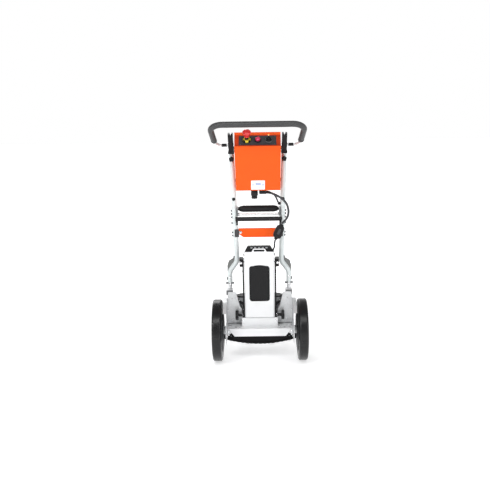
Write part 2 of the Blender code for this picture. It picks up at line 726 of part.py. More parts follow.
def make_cover():
    """Folded sheet over the battery with a window and a hand tab."""
    half, front, fold, back = COVER_HALF, COVER_FRONT_Y, 0.0105, -0.0300
    wall = 0.0015
    slant = wall * math.tan(math.radians(22.5))
    outer = [(-half, back), (-half, front + fold), (-half + fold, front),
             (half - fold, front), (half, front + fold), (half, back)]
    inner = [(half - wall, back), (half - wall, front + fold + slant),
             (half - fold - slant, front + wall), (-half + fold + slant, front + wall),
             (-half + wall, front + fold + slant), (-half + wall, back)]
    cover = slab("battery_cover", outer + inner, "Z", COVER_LOW, FLANGE_HIGH, "white_sheet")
    tab = [(-half, FLANGE_HIGH - 0.01), (half, FLANGE_HIGH - 0.01), (half, COVER_HIGH),
           (0.0330, COVER_HIGH), (0.0330, COVER_HIGH + 0.004), (0.0240, TAB_HIGH),
           (-0.0240, TAB_HIGH), (-0.0330, COVER_HIGH + 0.004), (-0.0330, COVER_HIGH),
           (-half, COVER_HIGH)]
    fuse(cover, slab("tab_tool", tab, "Y", front, front + wall, "white_sheet"))
    slot = rounded_rectangle((-0.0260, 0.5395), (0.0260, 0.5490), 0.0045)
    window = rounded_rectangle((-WINDOW_HALF, WINDOW_LOW), (WINDOW_HALF, WINDOW_HIGH),
                               0.012)
    cut(cover, slab("slot_tool", slot, "Y", front - 0.01, front + 0.008, "white_sheet"),
        slab("window_tool", window, "Y", front - 0.01, front + 0.008, "white_sheet"))


def make_t_knobs():
    """Clamp knobs on both sides of the cover, turning about X."""
    for word, side in SIDES:
        profile = [(0, -0.0295), (0.0070, -0.0295), (0.0070, -0.0060), (0.0130, -0.0045),
                   (0.0225, -0.0070), (0.0240, -0.0040), (0.0240, 0.0050),
                   (0.0215, 0.0080), (0, 0.0080)]
        knob = turned(f"cover_knob_{word}", profile, (0, 0, 0), (side, 0, 0),
                      "black_plastic", 18)
        knob.location = (side * 0.1112, -0.0410, 0.2220)


# ---------------------------------------------------------------- control box
def box_half(z):
    """Half width of the control box at height z."""
    share = (z - BOX_BOTTOM) / (BOX_TOP - BOX_BOTTOM)
    return BOX_HALF_BOTTOM + share * (BOX_HALF_TOP - BOX_HALF_BOTTOM)


def box_rear(z):
    return BOX_REAR_Y - math.tan(LEAN) * (z - BOX_BOTTOM)


CONSOLE_EDGE = Vector((0, BOX_FRONT_Y - math.tan(LEAN) * (BOX_FRONT_EDGE - BOX_BOTTOM),
                       BOX_FRONT_EDGE))
CONSOLE_UP = Vector((0, CONSOLE_DEPTH, BOX_CONSOLE_TOP - BOX_FRONT_EDGE))
CONSOLE_DIR = CONSOLE_UP.normalized()
CONSOLE_NORMAL = Vector((1, 0, 0)).cross(CONSOLE_DIR)
CONSOLE_TURN = Matrix((Vector((1, 0, 0)), CONSOLE_DIR, CONSOLE_NORMAL)).transposed()


def on_console(x, up, height=0.0):
    """A point on the console: x across, up the slope from its front edge, and above it."""
    return CONSOLE_EDGE + Vector((x, 0, 0)) + CONSOLE_DIR * up + CONSOLE_NORMAL * height


def tapered_box(name, outline, narrower, material):
    """Extrude a side view (y, z) across the box, following its taper."""
    bm = bmesh.new()
    left = [bm.verts.new((-(box_half(z) - narrower), y, z)) for y, z in outline]
    right = [bm.verts.new((box_half(z) - narrower, y, z)) for y, z in outline]
    bm.faces.new(left)
    bm.faces.new(right)
    for i in range(len(outline)):
        j = (i + 1) % len(outline)
        bm.faces.new((left[i], right[i], right[j], left[j]))
    return add_object(name, bm, material)


def make_control_box():
    edge = CONSOLE_EDGE
    top_y = edge.y + CONSOLE_DEPTH
    rear_low, rear_high = box_rear(BOX_BOTTOM), box_rear(BOX_TOP)
    outer = [(rear_low, BOX_BOTTOM), (BOX_FRONT_Y, BOX_BOTTOM), (edge.y, edge.z),
             (top_y, BOX_CONSOLE_TOP), (top_y + 0.002, BOX_TOP), (rear_high, BOX_TOP)]
    shell = tapered_box("box_shell", outer, 0.0, "orange_coat")
    w = BOX_WALL
    inner = [(rear_low + 0.01, BOX_BOTTOM + w), (BOX_FRONT_Y + w, BOX_BOTTOM + w),
             (edge.y + w, edge.z - w / 2), (top_y + w, BOX_CONSOLE_TOP - w),
             (top_y + 2 * w, BOX_TOP - w), (rear_high + 0.01, BOX_TOP - w)]
    cut(shell, tapered_box("shell_hollow", inner, w, "orange_coat"))
    cover_high = BOX_TOP - w - 2 * GAP
    cover_low = BOX_BOTTOM + w + 2 * GAP
    cover = [(box_rear(cover_low) - 0.0022, cover_low), (box_rear(cover_low), cover_low),
             (box_rear(cover_high), cover_high),
             (box_rear(cover_high) - 0.0022, cover_high)]
    tapered_box("box_rear_cover", cover, w + 2 * GAP, "orange_coat")

    board_low, board_high = 0.865, 1.010
    board = [(box_rear(board_low) - 0.0140, board_low),
             (box_rear(board_low) - 0.0124, board_low),
             (box_rear(board_high) - 0.0124, board_high),
             (box_rear(board_high) - 0.0140, board_high)]
    slab("control_board", board, "X", -0.080, 0.080, "circuit_board")

    profile = [(0, -0.0405), (0.0120, -0.0405), (0.0125, -0.0270), (0.0165, -0.0260),
               (0.0165, -0.0003), (0, -0.0003)]
    plug = turned("box_connector", profile, (0, 0, 0), (0, 0, 1), "black_plastic", 18)
    plug.location = (-0.0178, -0.0950, BOX_BOTTOM)


def console_piece(obj, x, up, height=0.0):
    """Stand a piece modelled around +Z on the console's slope."""
    return place(obj, on_console(x, up, height), CONSOLE_TURN)


def make_controls():
    """Panel plate, stop button, start button and selector on the sloped console."""
    lift = GAP
    thick = 0.0015
    face = lift + thick
    row = 0.0370
    outline = rounded_rectangle((-0.0850, 0.0055), (0.0850, 0.0745), 0.004)
    panel = slab("panel_plate", outline, "Z", lift, face, "panel_grey")
    console_piece(panel, 0, 0)
    base = face + GAP

    collar = [(0.0085, 0), (0.0175, 0), (0.0165, 0.010), (0.0085, 0.010)]
    console_piece(turned("stop_collar", collar, (0, 0, 0), (0, 0, 1), "yellow_plastic",
                         20), ESTOP_X, row, base)
    stem = [(0, 0.0052), (0.0080, 0.0052), (0.0080, 0.0240), (0, 0.0240)]
    console_piece(turned("stop_plunger", stem, (0, 0, 0), (0, 0, 1), "red_plastic", 16),
                  ESTOP_X, row, base)
    head = [(0, 0.0243), (0.0125, 0.0243), (0.0130, 0.0380), (0.0195, 0.0425),
            (0.0200, 0.0465), (0.0170, 0.0520), (0.0100, 0.0550), (0, 0.0560)]
    console_piece(turned("stop_button", head, (0, 0, 0), (0, 0, 1), "red_plastic", 20),
                  ESTOP_X, row, base)

    ring = [(0.0118, 0), (0.0150, 0), (0.0145, 0.0060), (0.0118, 0.0060)]
    console_piece(turned("start_bezel", ring, (0, 0, 0), (0, 0, 1), "black_plastic", 20),
                  BUTTON_X, row, base)
    cap = [(0, 0.0042), (0.0114, 0.0042), (0.0114, 0.0115), (0.0095, 0.0150),
           (0.0050, 0.0165), (0, 0.0168)]
    console_piece(turned("start_button", cap, (0, 0, 0), (0, 0, 1), "red_plastic", 20),
                  BUTTON_X, row, base)

    skirt = [(0, 0), (0.0138, 0), (0.0128, 0.0095), (0, 0.0095)]
    knob = turned("selector_knob", skirt, (0, 0, 0), (0, 0, 1), "black_plastic", 20)
    console_piece(knob, SELECTOR_X, row, base)
    grip = block("selector_grip_tool", (-0.0038, -0.0118, 0.0070),
                 (0.0038, 0.0118, 0.0190), "black_plastic", 0.0012)
    console_piece(grip, SELECTOR_X, row, base)
    fuse(knob, grip)


# ---------------------------------------------------------------- handle
def upright_turn(side):
    """Rotation that stands +Z along an upright."""
    along = Vector((side * math.tan(SPLAY), -math.tan(LEAN), 1)).normalized()
    across = Vector((0, 1, 0))
    across = (across - along * across.dot(along)).normalized()
    return Matrix((across.cross(along), across, along)).transposed()


def make_sleeves():
    """Black end fittings of the uprights that carry the handle's pivot."""
    for word, side in SIDES:
        name = f"pivot_sleeve_{word}"
        top, low = 0.0540, -0.0375
        outline = [(-0.0115, low), (0.0115, low), (0.0115, top), (0.0045, top),
                   (0, top - 0.0130), (-0.0045, top), (-0.0115, top)]
        sleeve = slab(name, outline, "Y", -0.0190, 0.0190, "black_plastic")
        collar = block(f"sleeve_collar_{word}", (-0.0142, -0.0225, low),
                       (0.0142, 0.0225, low + 0.0110), "black_plastic", 0.0015)
        plug = rod(f"sleeve_plug_{word}", (0, 0, -0.0850), (0, 0, low + 0.002), 0.0101,
                   "black_plastic", 20)
        bore = rod(f"pivot_bore_{word}", (-0.05, 0, 0), (0.05, 0, 0),
                   HANDLE_TUBE_RADIUS + GAP + 0.0002, "black_plastic", 20)
        for piece in (sleeve, collar, plug):
            place(piece, (side * PIVOT_X, PIVOT_Y, PIVOT_Z), upright_turn(side))
        place(bore, (side * PIVOT_X, PIVOT_Y, PIVOT_Z))
        fuse(sleeve, collar, plug)
        cut(sleeve, bore)


def make_clamp_knobs():
    """Knobs with short threaded stems on the operator's side of the uprights."""
    z = 0.9820
    for word, side in SIDES:
        surface = upright_y(z) - TUBE_RADIUS / math.cos(LEAN)
        outline = []
        for k in range(30):
            angle = math.tau * k / 30
            lobe = 1 + 0.06 * math.cos(5 * angle)
            outline.append((0.0100 * lobe * math.cos(angle),
                            0.0140 * lobe * math.sin(angle)))
        knob = slab(f"clamp_knob_{word}", outline, "Z", 0.0070, 0.0200, "black_plastic")
        stem = rod(f"clamp_stem_{word}", (0, 0, 0.0006), (0, 0, 0.0120), 0.0045,
                   "black_plastic", 16)
        normal = Vector((0, -math.cos(LEAN), -math.sin(LEAN)))
        turn = Matrix((Vector((1, 0, 0)), normal.cross(Vector((1, 0, 0))),
                       normal)).transposed()
        for piece in (knob, stem):
            place(piece, (side * upright_x(z), surface, z), turn)
        fuse(knob, stem)


def handle_corners():
    """Corner points of the handle loop from the left pivot to the right one."""
    bar = (HANDLE_BAR_Y, HANDLE_BAR_Z)
    start = (PIVOT_Y, PIVOT_Z)
    share = 0.14
    knee = (start[0] + share * (bar[0] - start[0]), start[1] + share * (bar[1] - start[1]))
    inner_end = PIVOT_X + 0.0095
    left = [(-inner_end, *start), (-(PIVOT_X + 0.052), *start), (-0.1965, *knee),
            (-HANDLE_HALF_WIDTH, *bar)]
    return left + [(-x, y, z) for x, y, z in reversed(left)]


def handle_path():
    """Centre line of the loop: tight bends by the pivots, wide ones at the bar."""
    c = [Vector(p) for p in handle_corners()]
    near_left = rounded_path([c[0], c[1], c[2]], 0.030, 3)[:-1]
    near_right = rounded_path([c[5], c[6], c[7]], 0.030, 3)[1:]
    knee_left = rounded_path([c[1], c[2], c[3]], 0.030, 2)[1:-1]
    knee_right = rounded_path([c[4], c[5], c[6]], 0.030, 2)[1:-1]
    bar_left = rounded_path([c[2], c[3], c[4]], HANDLE_BEND, 6)[1:-1]
    bar_right = rounded_path([c[3], c[4], c[5]], HANDLE_BEND, 6)[1:-1]
    return near_left + knee_left + bar_left + bar_right + knee_right + near_right


def make_handle():
    """Bent tube and the foam over its bar and legs, turning about the pivot."""
    pivot = (0, PIVOT_Y, PIVOT_Z)
    tube = sweep("handle_tube", handle_path(), HANDLE_TUBE_RADIUS, "bright_steel", 12)
    set_origin(tube, pivot)
    c = [Vector(p) for p in handle_corners()]
    first = c[2].lerp(c[3], 0.085)
    last = c[5].lerp(c[4], 0.085)
    bar_left = rounded_path([first, c[3], c[4]], HANDLE_BEND, 6)[:-1]
    bar_right = rounded_path([c[3], c[4], last], HANDLE_BEND, 6)[1:]
    foam = sweep("foam_grip", bar_left + bar_right, GRIP_RADIUS, "foam", 14, GRIP_BORE)
    set_origin(foam, pivot)


# ---------------------------------------------------------------- cables
CONNECTOR_CENTRE = Vector((0.0950, -0.0600, 0.6340))
CONNECTOR_TILT = math.radians(24)
CONNECTOR_REACH = 0.0395

MAIN_ROUTE = [
    (0.0120, -0.1010, 0.8278), (0.0240, -0.1010, 0.8278), (0.0395, -0.1010, 0.8272),
    (0.0520, -0.1015, 0.8248), (0.0680, -0.1025, 0.8190), (0.0850, -0.1030, 0.8112),
    (0.1040, -0.1025, 0.8000), (0.1210, -0.1005, 0.7850), (0.1335, -0.0960, 0.7660),
    (0.1395, -0.0900, 0.7430), (0.1400, -0.0850, 0.7260), (0.1375, -0.0780, 0.7110),
    (0.1315, -0.0710, 0.6970), (0.1235, -0.0650, 0.6865), (0.1165, -0.0615, 0.6790),
    (0.1122, -0.0600, 0.6732),
]
BRANCH_ROUTE = [
    (0.0120, -0.0865, 0.8278), (0.0240, -0.0865, 0.8278), (0.0395, -0.0865, 0.8270),
    (0.0550, -0.0860, 0.8235), (0.0680, -0.0835, 0.8170), (0.0775, -0.0780, 0.8080),
    (0.0835, -0.0695, 0.7980), (0.0880, -0.0585, 0.7870), (0.0930, -0.0450, 0.7750),
    (0.0998, -0.0320, 0.7655),
]
BATTERY_ROUTE = [
    (0.0785, -0.0600, 0.5970), (0.0755, -0.0590, 0.5860), (0.0740, -0.0540, 0.5720),
    (0.0742, -0.0440, 0.5600), (0.0735, -0.0310, 0.5530), (0.0710, -0.0190, 0.5460),
    (0.0680, -0.0120, 0.5370), (0.0655, -0.0110, 0.5300), (0.0652, -0.0110, 0.5243),
]
MAIN_DIAMETER = 0.0105
BRANCH_DIAMETER = 0.0080
BATTERY_DIAMETER = 0.0080


def smooth_route(points, spacing):
    """Read evenly spaced points from a smooth curve through the route's points."""
    points = [Vector(p) for p in points]
    padded = [points[0] * 2 - points[1]] + points + [points[-1] * 2 - points[-2]]
    dense = []
    for p0, p1, p2, p3 in zip(padded, padded[1:], padded[2:], padded[3:]):
        for k in range(16):
            t = k / 16
            dense.append(0.5 * (2 * p1 + (p2 - p0) * t + (2 * p0 - 5 * p1 + 4 * p2 - p3) * t * t
                                + (3 * p1 - p0 - 3 * p2 + p3) * t ** 3))
    dense.append(points[-1])
    total = sum((b - a).length for a, b in zip(dense, dense[1:]))
    count = max(2, round(total / spacing))
    even = [dense[0]]
    walked = 0.0
    for a, b in zip(dense, dense[1:]):
        walked += (b - a).length
        if walked >= total * len(even) / count and len(even) < count:
            even.append(b)
    even.append(dense[-1])
    return even


def cable(name, route, diameter):
    """A round cable along its route, as a curve with filled ends."""
    curve = bpy.data.curves.new(name, "CURVE")
    curve.dimensions = "3D"
    curve.bevel_depth = diameter / 2
    curve.bevel_resolution = 2
    curve.use_fill_caps = True
    curve.render_resolution_u = 0
    spline = curve.splines.new("POLY")
    points = smooth_route(route, 2 * diameter)
    spline.points.add(len(points) - 1)
    for slot, point in zip(spline.points, points):
        slot.co = (*point, 1.0)
    curve.materials.append(finish("cable_jacket"))
    obj = bpy.data.objects.new(name, curve)
    bpy.context.scene.collection.objects.link(obj)


def make_cables():
    """Gland, cables and the inline connector between the box and the battery."""
    gland = block("cable_gland", (0.0040, -0.1120, 0.8190), (0.0390, -0.0790, 0.8367),
                  "black_plastic", 0.002)
    for route, diameter in ((MAIN_ROUTE, MAIN_DIAMETER), (BRANCH_ROUTE, BRANCH_DIAMETER)):
        x, y, z = route[0]
        cut(gland, rod(f"gland_hole_{diameter}", (x - 0.003, y, z), (x + 0.040, y, z),
                       diameter / 2 + 0.0011, "black_plastic", 18))
    cable("main_cable", MAIN_ROUTE, MAIN_DIAMETER)
    cable("branch_cable", BRANCH_ROUTE, BRANCH_DIAMETER)
    cable("battery_lead", BATTERY_ROUTE, BATTERY_DIAMETER)
    levels = ((-CONNECTOR_REACH, 0.0080, 0.0075), (-0.0330, 0.0085, 0.0080),
              (-0.0310, 0.0140, 0.0105), (-0.0220, 0.0205, 0.0130),
              (0.0000, 0.0212, 0.0135), (0.0240, 0.0190, 0.0125),
              (0.0310, 0.0130, 0.0105), (0.0330, 0.0085, 0.0080),
              (CONNECTOR_REACH, 0.0080, 0.0075))
    body = stacked("inline_connector", levels, 0.0, "black_plastic")
    place(body, CONNECTOR_CENTRE, Matrix.Rotation(CONNECTOR_TILT, 3, "Y"))


def main():
    clear_scene()
    make_uprights()
    make_sockets()
    make_cross_members()
    make_chassis_sides()
    make_tray()
    make_load_side()
    make_wheels()
    make_drive()
    make_climbing_foot()
    make_battery()
    make_battery_frame()
    make_cover()
    make_t_knobs()
    make_control_box()
    make_controls()
    make_sleeves()
    make_clamp_knobs()
    make_handle()
    make_cables()


main()
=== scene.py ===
"""Looks of the stair climbing trolley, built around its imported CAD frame.

Metres, +Z up, -Y is the operator's side.  Every piece keeps its own origin at the frame's
origin, so object coordinates are the frame's coordinates in every material.
"""
import json
import math

import bmesh
import bpy
from mathutils import Matrix, Quaternion, Vector


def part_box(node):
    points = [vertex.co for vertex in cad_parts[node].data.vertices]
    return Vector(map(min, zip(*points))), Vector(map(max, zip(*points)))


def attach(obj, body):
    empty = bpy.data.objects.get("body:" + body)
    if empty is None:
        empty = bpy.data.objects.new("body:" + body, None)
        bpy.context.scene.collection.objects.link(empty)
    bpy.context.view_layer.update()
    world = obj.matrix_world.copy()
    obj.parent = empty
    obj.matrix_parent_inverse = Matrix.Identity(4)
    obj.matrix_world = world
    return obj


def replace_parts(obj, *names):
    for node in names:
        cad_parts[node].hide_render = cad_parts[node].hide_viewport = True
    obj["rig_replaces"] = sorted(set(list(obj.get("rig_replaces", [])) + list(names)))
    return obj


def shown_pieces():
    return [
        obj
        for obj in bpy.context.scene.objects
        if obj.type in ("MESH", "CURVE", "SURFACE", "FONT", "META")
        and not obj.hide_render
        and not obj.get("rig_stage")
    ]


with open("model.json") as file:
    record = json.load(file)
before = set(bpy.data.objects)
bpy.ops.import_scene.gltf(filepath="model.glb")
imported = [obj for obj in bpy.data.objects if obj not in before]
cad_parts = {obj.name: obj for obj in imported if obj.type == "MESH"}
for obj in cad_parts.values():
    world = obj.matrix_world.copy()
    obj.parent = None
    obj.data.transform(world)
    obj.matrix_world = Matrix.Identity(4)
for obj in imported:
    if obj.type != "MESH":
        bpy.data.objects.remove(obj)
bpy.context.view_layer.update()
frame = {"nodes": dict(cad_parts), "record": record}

SIDES = (("left", -1), ("right", 1))
LEAN = math.atan(0.1818)        # the uprights lean towards the operator
SPLAY = math.atan(0.027)        # and spread apart upwards
UP = Vector((0, 0, 1))
SLOT_OF = {row["node"]: row["material_slot"] for row in frame["record"]["subparts"]}
BODY_OF = {node: body for body, nodes in frame["record"]["behaviour"]["bodies"].items()
           for node in nodes}
JOINTS = {row["name"]: row for row in frame["record"]["behaviour"]["joints"]}


# ---------------------------------------------------------------- camera, light, floor
CAMERA_SPOT = (0.0, -3.11, 1.109)
CAMERA_PITCH = math.radians(10.0)
CAMERA_ROLL = math.radians(-0.8)
CAMERA_LENS = 47.76
CAMERA_SHIFT = -0.0285


def make_camera():
    """The camera at the photograph's angle, turned a little about its own axis."""
    data = bpy.data.cameras.new("camera")
    data.lens = CAMERA_LENS
    data.sensor_width = 36
    data.shift_x = CAMERA_SHIFT
    camera = bpy.data.objects.new("camera", data)
    bpy.context.scene.collection.objects.link(camera)
    look = Matrix.Rotation(math.pi / 2 - CAMERA_PITCH, 4, "X") @ Matrix.Rotation(CAMERA_ROLL, 4, "Z")
    camera.matrix_world = Matrix.Translation(CAMERA_SPOT) @ look
    bpy.context.scene.camera = camera


def area_light(name, spot, target, size, power, tint=(1, 1, 1)):
    data = bpy.data.lights.new(name, "AREA")
    data.shape = "RECTANGLE"
    data.size, data.size_y = size
    data.energy = power
    data.color = tint
    light = bpy.data.objects.new(name, data)
    light.location = spot
    light.rotation_euler = (Vector(target) - Vector(spot)).to_track_quat("-Z", "Y").to_euler()
    bpy.context.scene.collection.objects.link(light)


def make_studio():
    """A pale floor, a surround that is white at eye level and dimmer above, and soft boxes."""
    scene = bpy.context.scene
    scene.view_settings.view_transform = "Standard"
    world = bpy.data.worlds.new("studio")
    world.use_nodes = True
    scene.world = world
    nodes, links = world.node_tree.nodes, world.node_tree.links
    sky = nodes["Background"]
    sky.inputs["Color"].default_value = (1.0, 1.0, 1.0, 1)
    place = nodes.new("ShaderNodeTexCoord")
    split = nodes.new("ShaderNodeSeparateXYZ")
    links.new(place.outputs["Generated"], split.inputs["Vector"])
    product = nodes.new("ShaderNodeMath")
    product.operation = "MULTIPLY"
    for order, (axis, low, high, start, end) in enumerate((("Z", 0.26, 0.65, 1.0, 0.30),
                                                           ("Y", -0.30, 0.55, 0.42, 1.0))):
        fade = nodes.new("ShaderNodeMapRange")
        links.new(split.outputs[axis], fade.inputs["Value"])
        for socket, value in (("From Min", low), ("From Max", high), ("To Min", start), ("To Max", end)):
            fade.inputs[socket].default_value = value
        links.new(fade.outputs["Result"], product.inputs[order])
    links.new(product.outputs[0], sky.inputs["Strength"])
    aim = (0, 0, 0.5)
    area_light("key_light", (-1.7, -2.8, 2.2), aim, (1.1, 0.9), 36)
    area_light("fill_light", (2.2, -2.6, 1.6), aim, (0.9, 1.2), 15)
    area_light("front_strip", (0.0, -2.4, 3.1), (0, 0, 0.3), (3.2, 0.75), 50)
    area_light("rear_light", (-0.9, 2.9, 2.2), aim, (1.6, 1.0), 24)

    bm = bmesh.new()
    bmesh.ops.create_grid(bm, x_segments=24, y_segments=24, size=60)
    floor = add_piece("studio_floor", bm)
    floor.location.z = -0.0004
    floor.data.materials.append(floor_material())
    floor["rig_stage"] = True


# ---------------------------------------------------------------- materials
class Graph:
    """One material's node tree, with a short call for each kind of node used here."""

    def __init__(self, name, color, roughness, metallic=0.0, **sockets):
        self.material = bpy.data.materials.new(name)
        self.material.use_nodes = True
        self.tree = self.material.node_tree
        self.shader = self.tree.nodes["Principled BSDF"]
        self.color = color
        self.roughness = roughness
        self.shader.inputs["Metallic"].default_value = metallic
        for socket, value in sockets.items():
            label = socket.replace("_", " ").title().replace("Ior", "IOR")
            self.shader.inputs[label].default_value = value
        self.material.diffuse_color = (*color, 1)
        self.place = self.node("ShaderNodeTexCoord").outputs["Object"]

    def node(self, kind, inputs=(), **settings):
        made = self.tree.nodes.new(kind)
        for key, value in settings.items():
            setattr(made, key, value)
        for socket, value in dict(inputs).items():
            self.feed(made.inputs[socket], value)
        return made

    def feed(self, socket, value):
        if isinstance(value, bpy.types.NodeSocket):
            self.tree.links.new(value, socket)
        else:
            socket.default_value = value

    def stretch(self, scale):
        """Object coordinates stretched differently along the axes."""
        mapping = self.node("ShaderNodeMapping", {"Vector": self.place, "Scale": scale})
        return mapping.outputs["Vector"]

    def noise(self, scale, detail=3.0, rough=0.55, place=None):
        node = self.node("ShaderNodeTexNoise", {"Vector": place or self.place, "Scale": scale,
                                               "Detail": detail, "Roughness": rough})
        return node.outputs["Fac"]

    def cells(self, scale, feature="F1", output="Distance", place=None):
        node = self.node("ShaderNodeTexVoronoi", {"Vector": place or self.place, "Scale": scale},
                         feature=feature)
        return node.outputs[output]

    def span(self, value, low, high, out_low=0.0, out_high=1.0):
        node = self.node("ShaderNodeMapRange", {"Value": value, "From Min": low, "From Max": high,
                                               "To Min": out_low, "To Max": out_high})
        return node.outputs["Result"]

    def maths(self, kind, a, b):
        node = self.node("ShaderNodeMath", operation=kind)
        self.feed(node.inputs[0], a)
        self.feed(node.inputs[1], b)
        return node.outputs[0]

    def blend(self, share, a, b):
        node = self.node("ShaderNodeMix", data_type="RGBA")
        self.feed(node.inputs["Factor"], share)
        self.feed(node.inputs[6], a if isinstance(a, bpy.types.NodeSocket) else (*a, 1))
        self.feed(node.inputs[7], b if isinstance(b, bpy.types.NodeSocket) else (*b, 1))
        return node.outputs[2]

    def tones(self, share, dark=0.85, light=1.1):
        """The base colour, varied between a darker and a lighter tone."""
        return self.blend(share, [c * dark for c in self.color],
                          [min(1.0, c * light) for c in self.color])

    def bumps(self, *layers):
        """Stack bump layers, each (height, strength, distance)."""
        normal = None
        for height, strength, distance in layers:
            made = self.node("ShaderNodeBump", {"Height": height, "Strength": strength,
                                               "Distance": distance})
            if normal is not None:
                self.feed(made.inputs["Normal"], normal)
            normal = made.outputs["Normal"]
        self.feed(self.shader.inputs["Normal"], normal)

    def done(self, color=None, roughness=None):
        self.feed(self.shader.inputs["Base Color"],
                  color if color is not None else (*self.color, 1))
        self.feed(self.shader.inputs["Roughness"],
                  roughness if roughness is not None else self.roughness)
        return self.material


def floor_material():
    """White glowing floor with painted shade: its glow is dimmer near the trolley and behind the operator.
    """
    g = Graph("floor_white", (0.80, 0.80, 0.81), 0.6, specular_ior_level=0.3)
    g.shader.inputs["Emission Color"].default_value = (1.0, 1.0, 1.0, 1)
    away = g.node("ShaderNodeVectorMath", {0: g.place}, operation="LENGTH").outputs["Value"]
    ahead = g.node("ShaderNodeSeparateXYZ", {"Vector": g.place}).outputs["Y"]
    # the glow drops near the trolley and towards the operator's side: painted shade on the floor
    glow = g.maths("MULTIPLY", g.span(away, 0.4, 2.4, 0.56, 1.0), g.span(ahead, -3.0, -1.3, 0.45, 1.0))
    g.feed(g.shader.inputs["Emission Strength"], glow)
    soft = g.noise(0.9, 2.0)
    fine = g.noise(160.0, 3.0)
    g.bumps((fine, 0.05, 0.0004))
    return g.done(g.tones(soft, 0.985, 1.0), g.span(soft, 0.3, 0.7, 0.50, 0.62))


def galvanised(name, color):
    """Zinc sheet and tube: faint crystals, fine grain and handling marks."""
    g = Graph(name, color, 0.40, 0.45, specular_ior_level=0.5)
    crystals = g.cells(170.0, output="Color")
    level = g.node("ShaderNodeSeparateColor", {"Color": crystals}).outputs["Red"]
    clouds = g.noise(14.0, 4.0)
    grain = g.noise(900.0, 2.0)
    share = g.maths("ADD", g.maths("MULTIPLY", level, 0.45), g.maths("MULTIPLY", clouds, 0.55))
    rubbed = g.span(g.noise(34.0, 5.0, 0.65), 0.52, 0.70)
    rough = g.maths("ADD", g.span(share, 0.2, 0.8, 0.30, 0.44), g.maths("MULTIPLY", rubbed, 0.07))
    g.bumps((level, 0.05, 0.0001), (grain, 0.10, 0.0001))
    return g.done(g.tones(share, 0.86, 1.08), rough)


def bright_steel(name, color):
    """Plated steel: long fine draw lines and a few cloudy finger marks."""
    g = Graph(name, color, 0.18, 1.0)
    lines = g.noise(60.0, 2.0, place=g.stretch((2.0, 40.0, 40.0)))
    marks = g.span(g.noise(22.0, 4.0, 0.6), 0.45, 0.68)
    rough = g.maths("ADD", g.span(lines, 0.3, 0.7, 0.12, 0.2), g.maths("MULTIPLY", marks, 0.12))
    g.bumps((lines, 0.04, 0.0001))
    return g.done(g.tones(marks, 1.02, 0.9), rough)


def powder_coat(name, color, roughness, dark=0.93, light=1.05, metallic=0.0, shine=0.35):
    """Powder coat: orange peel, tiny pits, and slight clouds of tone and gloss."""
    g = Graph(name, color, roughness, metallic, specular_ior_level=shine)
    clouds = g.noise(9.0, 3.0)
    peel = g.cells(620.0, "SMOOTH_F1")
    pits = g.span(g.noise(1400.0, 2.0), 0.62, 0.75)
    dust = g.span(g.noise(48.0, 6.0, 0.7), 0.55, 0.78)
    tone = g.maths("SUBTRACT", clouds, g.maths("MULTIPLY", dust, 0.18))
    rough = g.maths("ADD", g.span(clouds, 0.3, 0.7, roughness - 0.05, roughness + 0.05),
                    g.maths("MULTIPLY", dust, 0.08))
    g.bumps((peel, 0.10, 0.0002), (pits, 0.06, 0.0001))
    return g.done(g.tones(g.span(tone, 0.25, 0.75), dark, light), rough)


def moulded(name, color, roughness, grain=700.0, depth=0.22, light=1.35, shine=0.35):
    """Moulded plastic: spark-eroded grain with faint scuffs."""
    g = Graph(name, color, roughness, specular_ior_level=shine)
    fine = g.noise(grain, 4.0, 0.6)
    clouds = g.noise(26.0, 3.0)
    scuffs = g.span(g.noise(90.0, 6.0, 0.7, g.stretch((1.0, 1.0, 0.35))), 0.60, 0.74)
    rough = g.maths("ADD", g.span(clouds, 0.3, 0.7, roughness - 0.06, roughness + 0.06),
                    g.maths("MULTIPLY", scuffs, 0.10))
    tone = g.maths("ADD", clouds, g.maths("MULTIPLY", scuffs, 0.45))
    g.bumps((fine, depth, 0.0002))
    return g.done(g.tones(g.span(tone, 0.2, 1.0), 0.88, light), rough)


def gloss_plastic(name, color, roughness=0.24):
    """Coloured switch plastic with a thin clear skin and soft handling marks."""
    g = Graph(name, color, roughness, coat_weight=0.35, coat_roughness=0.12,
              subsurface_weight=0.04, subsurface_scale=0.004)
    marks = g.noise(60.0, 4.0)
    grain = g.noise(900.0, 2.0)
    g.bumps((grain, 0.04, 0.0001))
    return g.done(g.tones(marks, 0.92, 1.06), g.span(marks, 0.3, 0.7, roughness - 0.05,
                                                     roughness + 0.1))


def foam_rubber(name, color):
    """Closed-cell foam: small open pores with painted shade in their pits, and a broken matte skin."""
    g = Graph(name, color, 0.5, specular_ior_level=0.45)
    pores = g.cells(520.0, "SMOOTH_F1")
    skin = g.noise(240.0, 5.0, 0.65)
    clouds = g.noise(18.0, 3.0)
    # colour: random clouds of tone, and painted shade in each pore's pit
    tone = g.maths("ADD", g.maths("MULTIPLY", pores, 0.5), g.maths("MULTIPLY", clouds, 0.6))
    g.bumps((pores, 0.35, 0.0004), (skin, 0.25, 0.0003))
    return g.done(g.tones(tone, 0.75, 1.5), g.span(clouds, 0.3, 0.7, 0.44, 0.56))


def tyre_rubber(name, color):
    """Solid tyre: moulding grain, mould sweep lines and pale dust on the tread."""
    g = Graph(name, color, 0.32, specular_ior_level=0.42)
    grain = g.noise(420.0, 5.0, 0.6)
    clouds = g.noise(12.0, 3.0)
    dust = g.span(g.noise(120.0, 6.0, 0.7), 0.54, 0.72)
    tone = g.maths("ADD", g.maths("MULTIPLY", clouds, 0.5), g.maths("MULTIPLY", dust, 0.5))
    rough = g.maths("ADD", g.span(clouds, 0.3, 0.7, 0.25, 0.33), g.maths("MULTIPLY", dust, 0.12))
    g.bumps((grain, 0.16, 0.0003), (clouds, 0.10, 0.001))
    return g.done(g.tones(tone, 0.7, 1.5), rough)


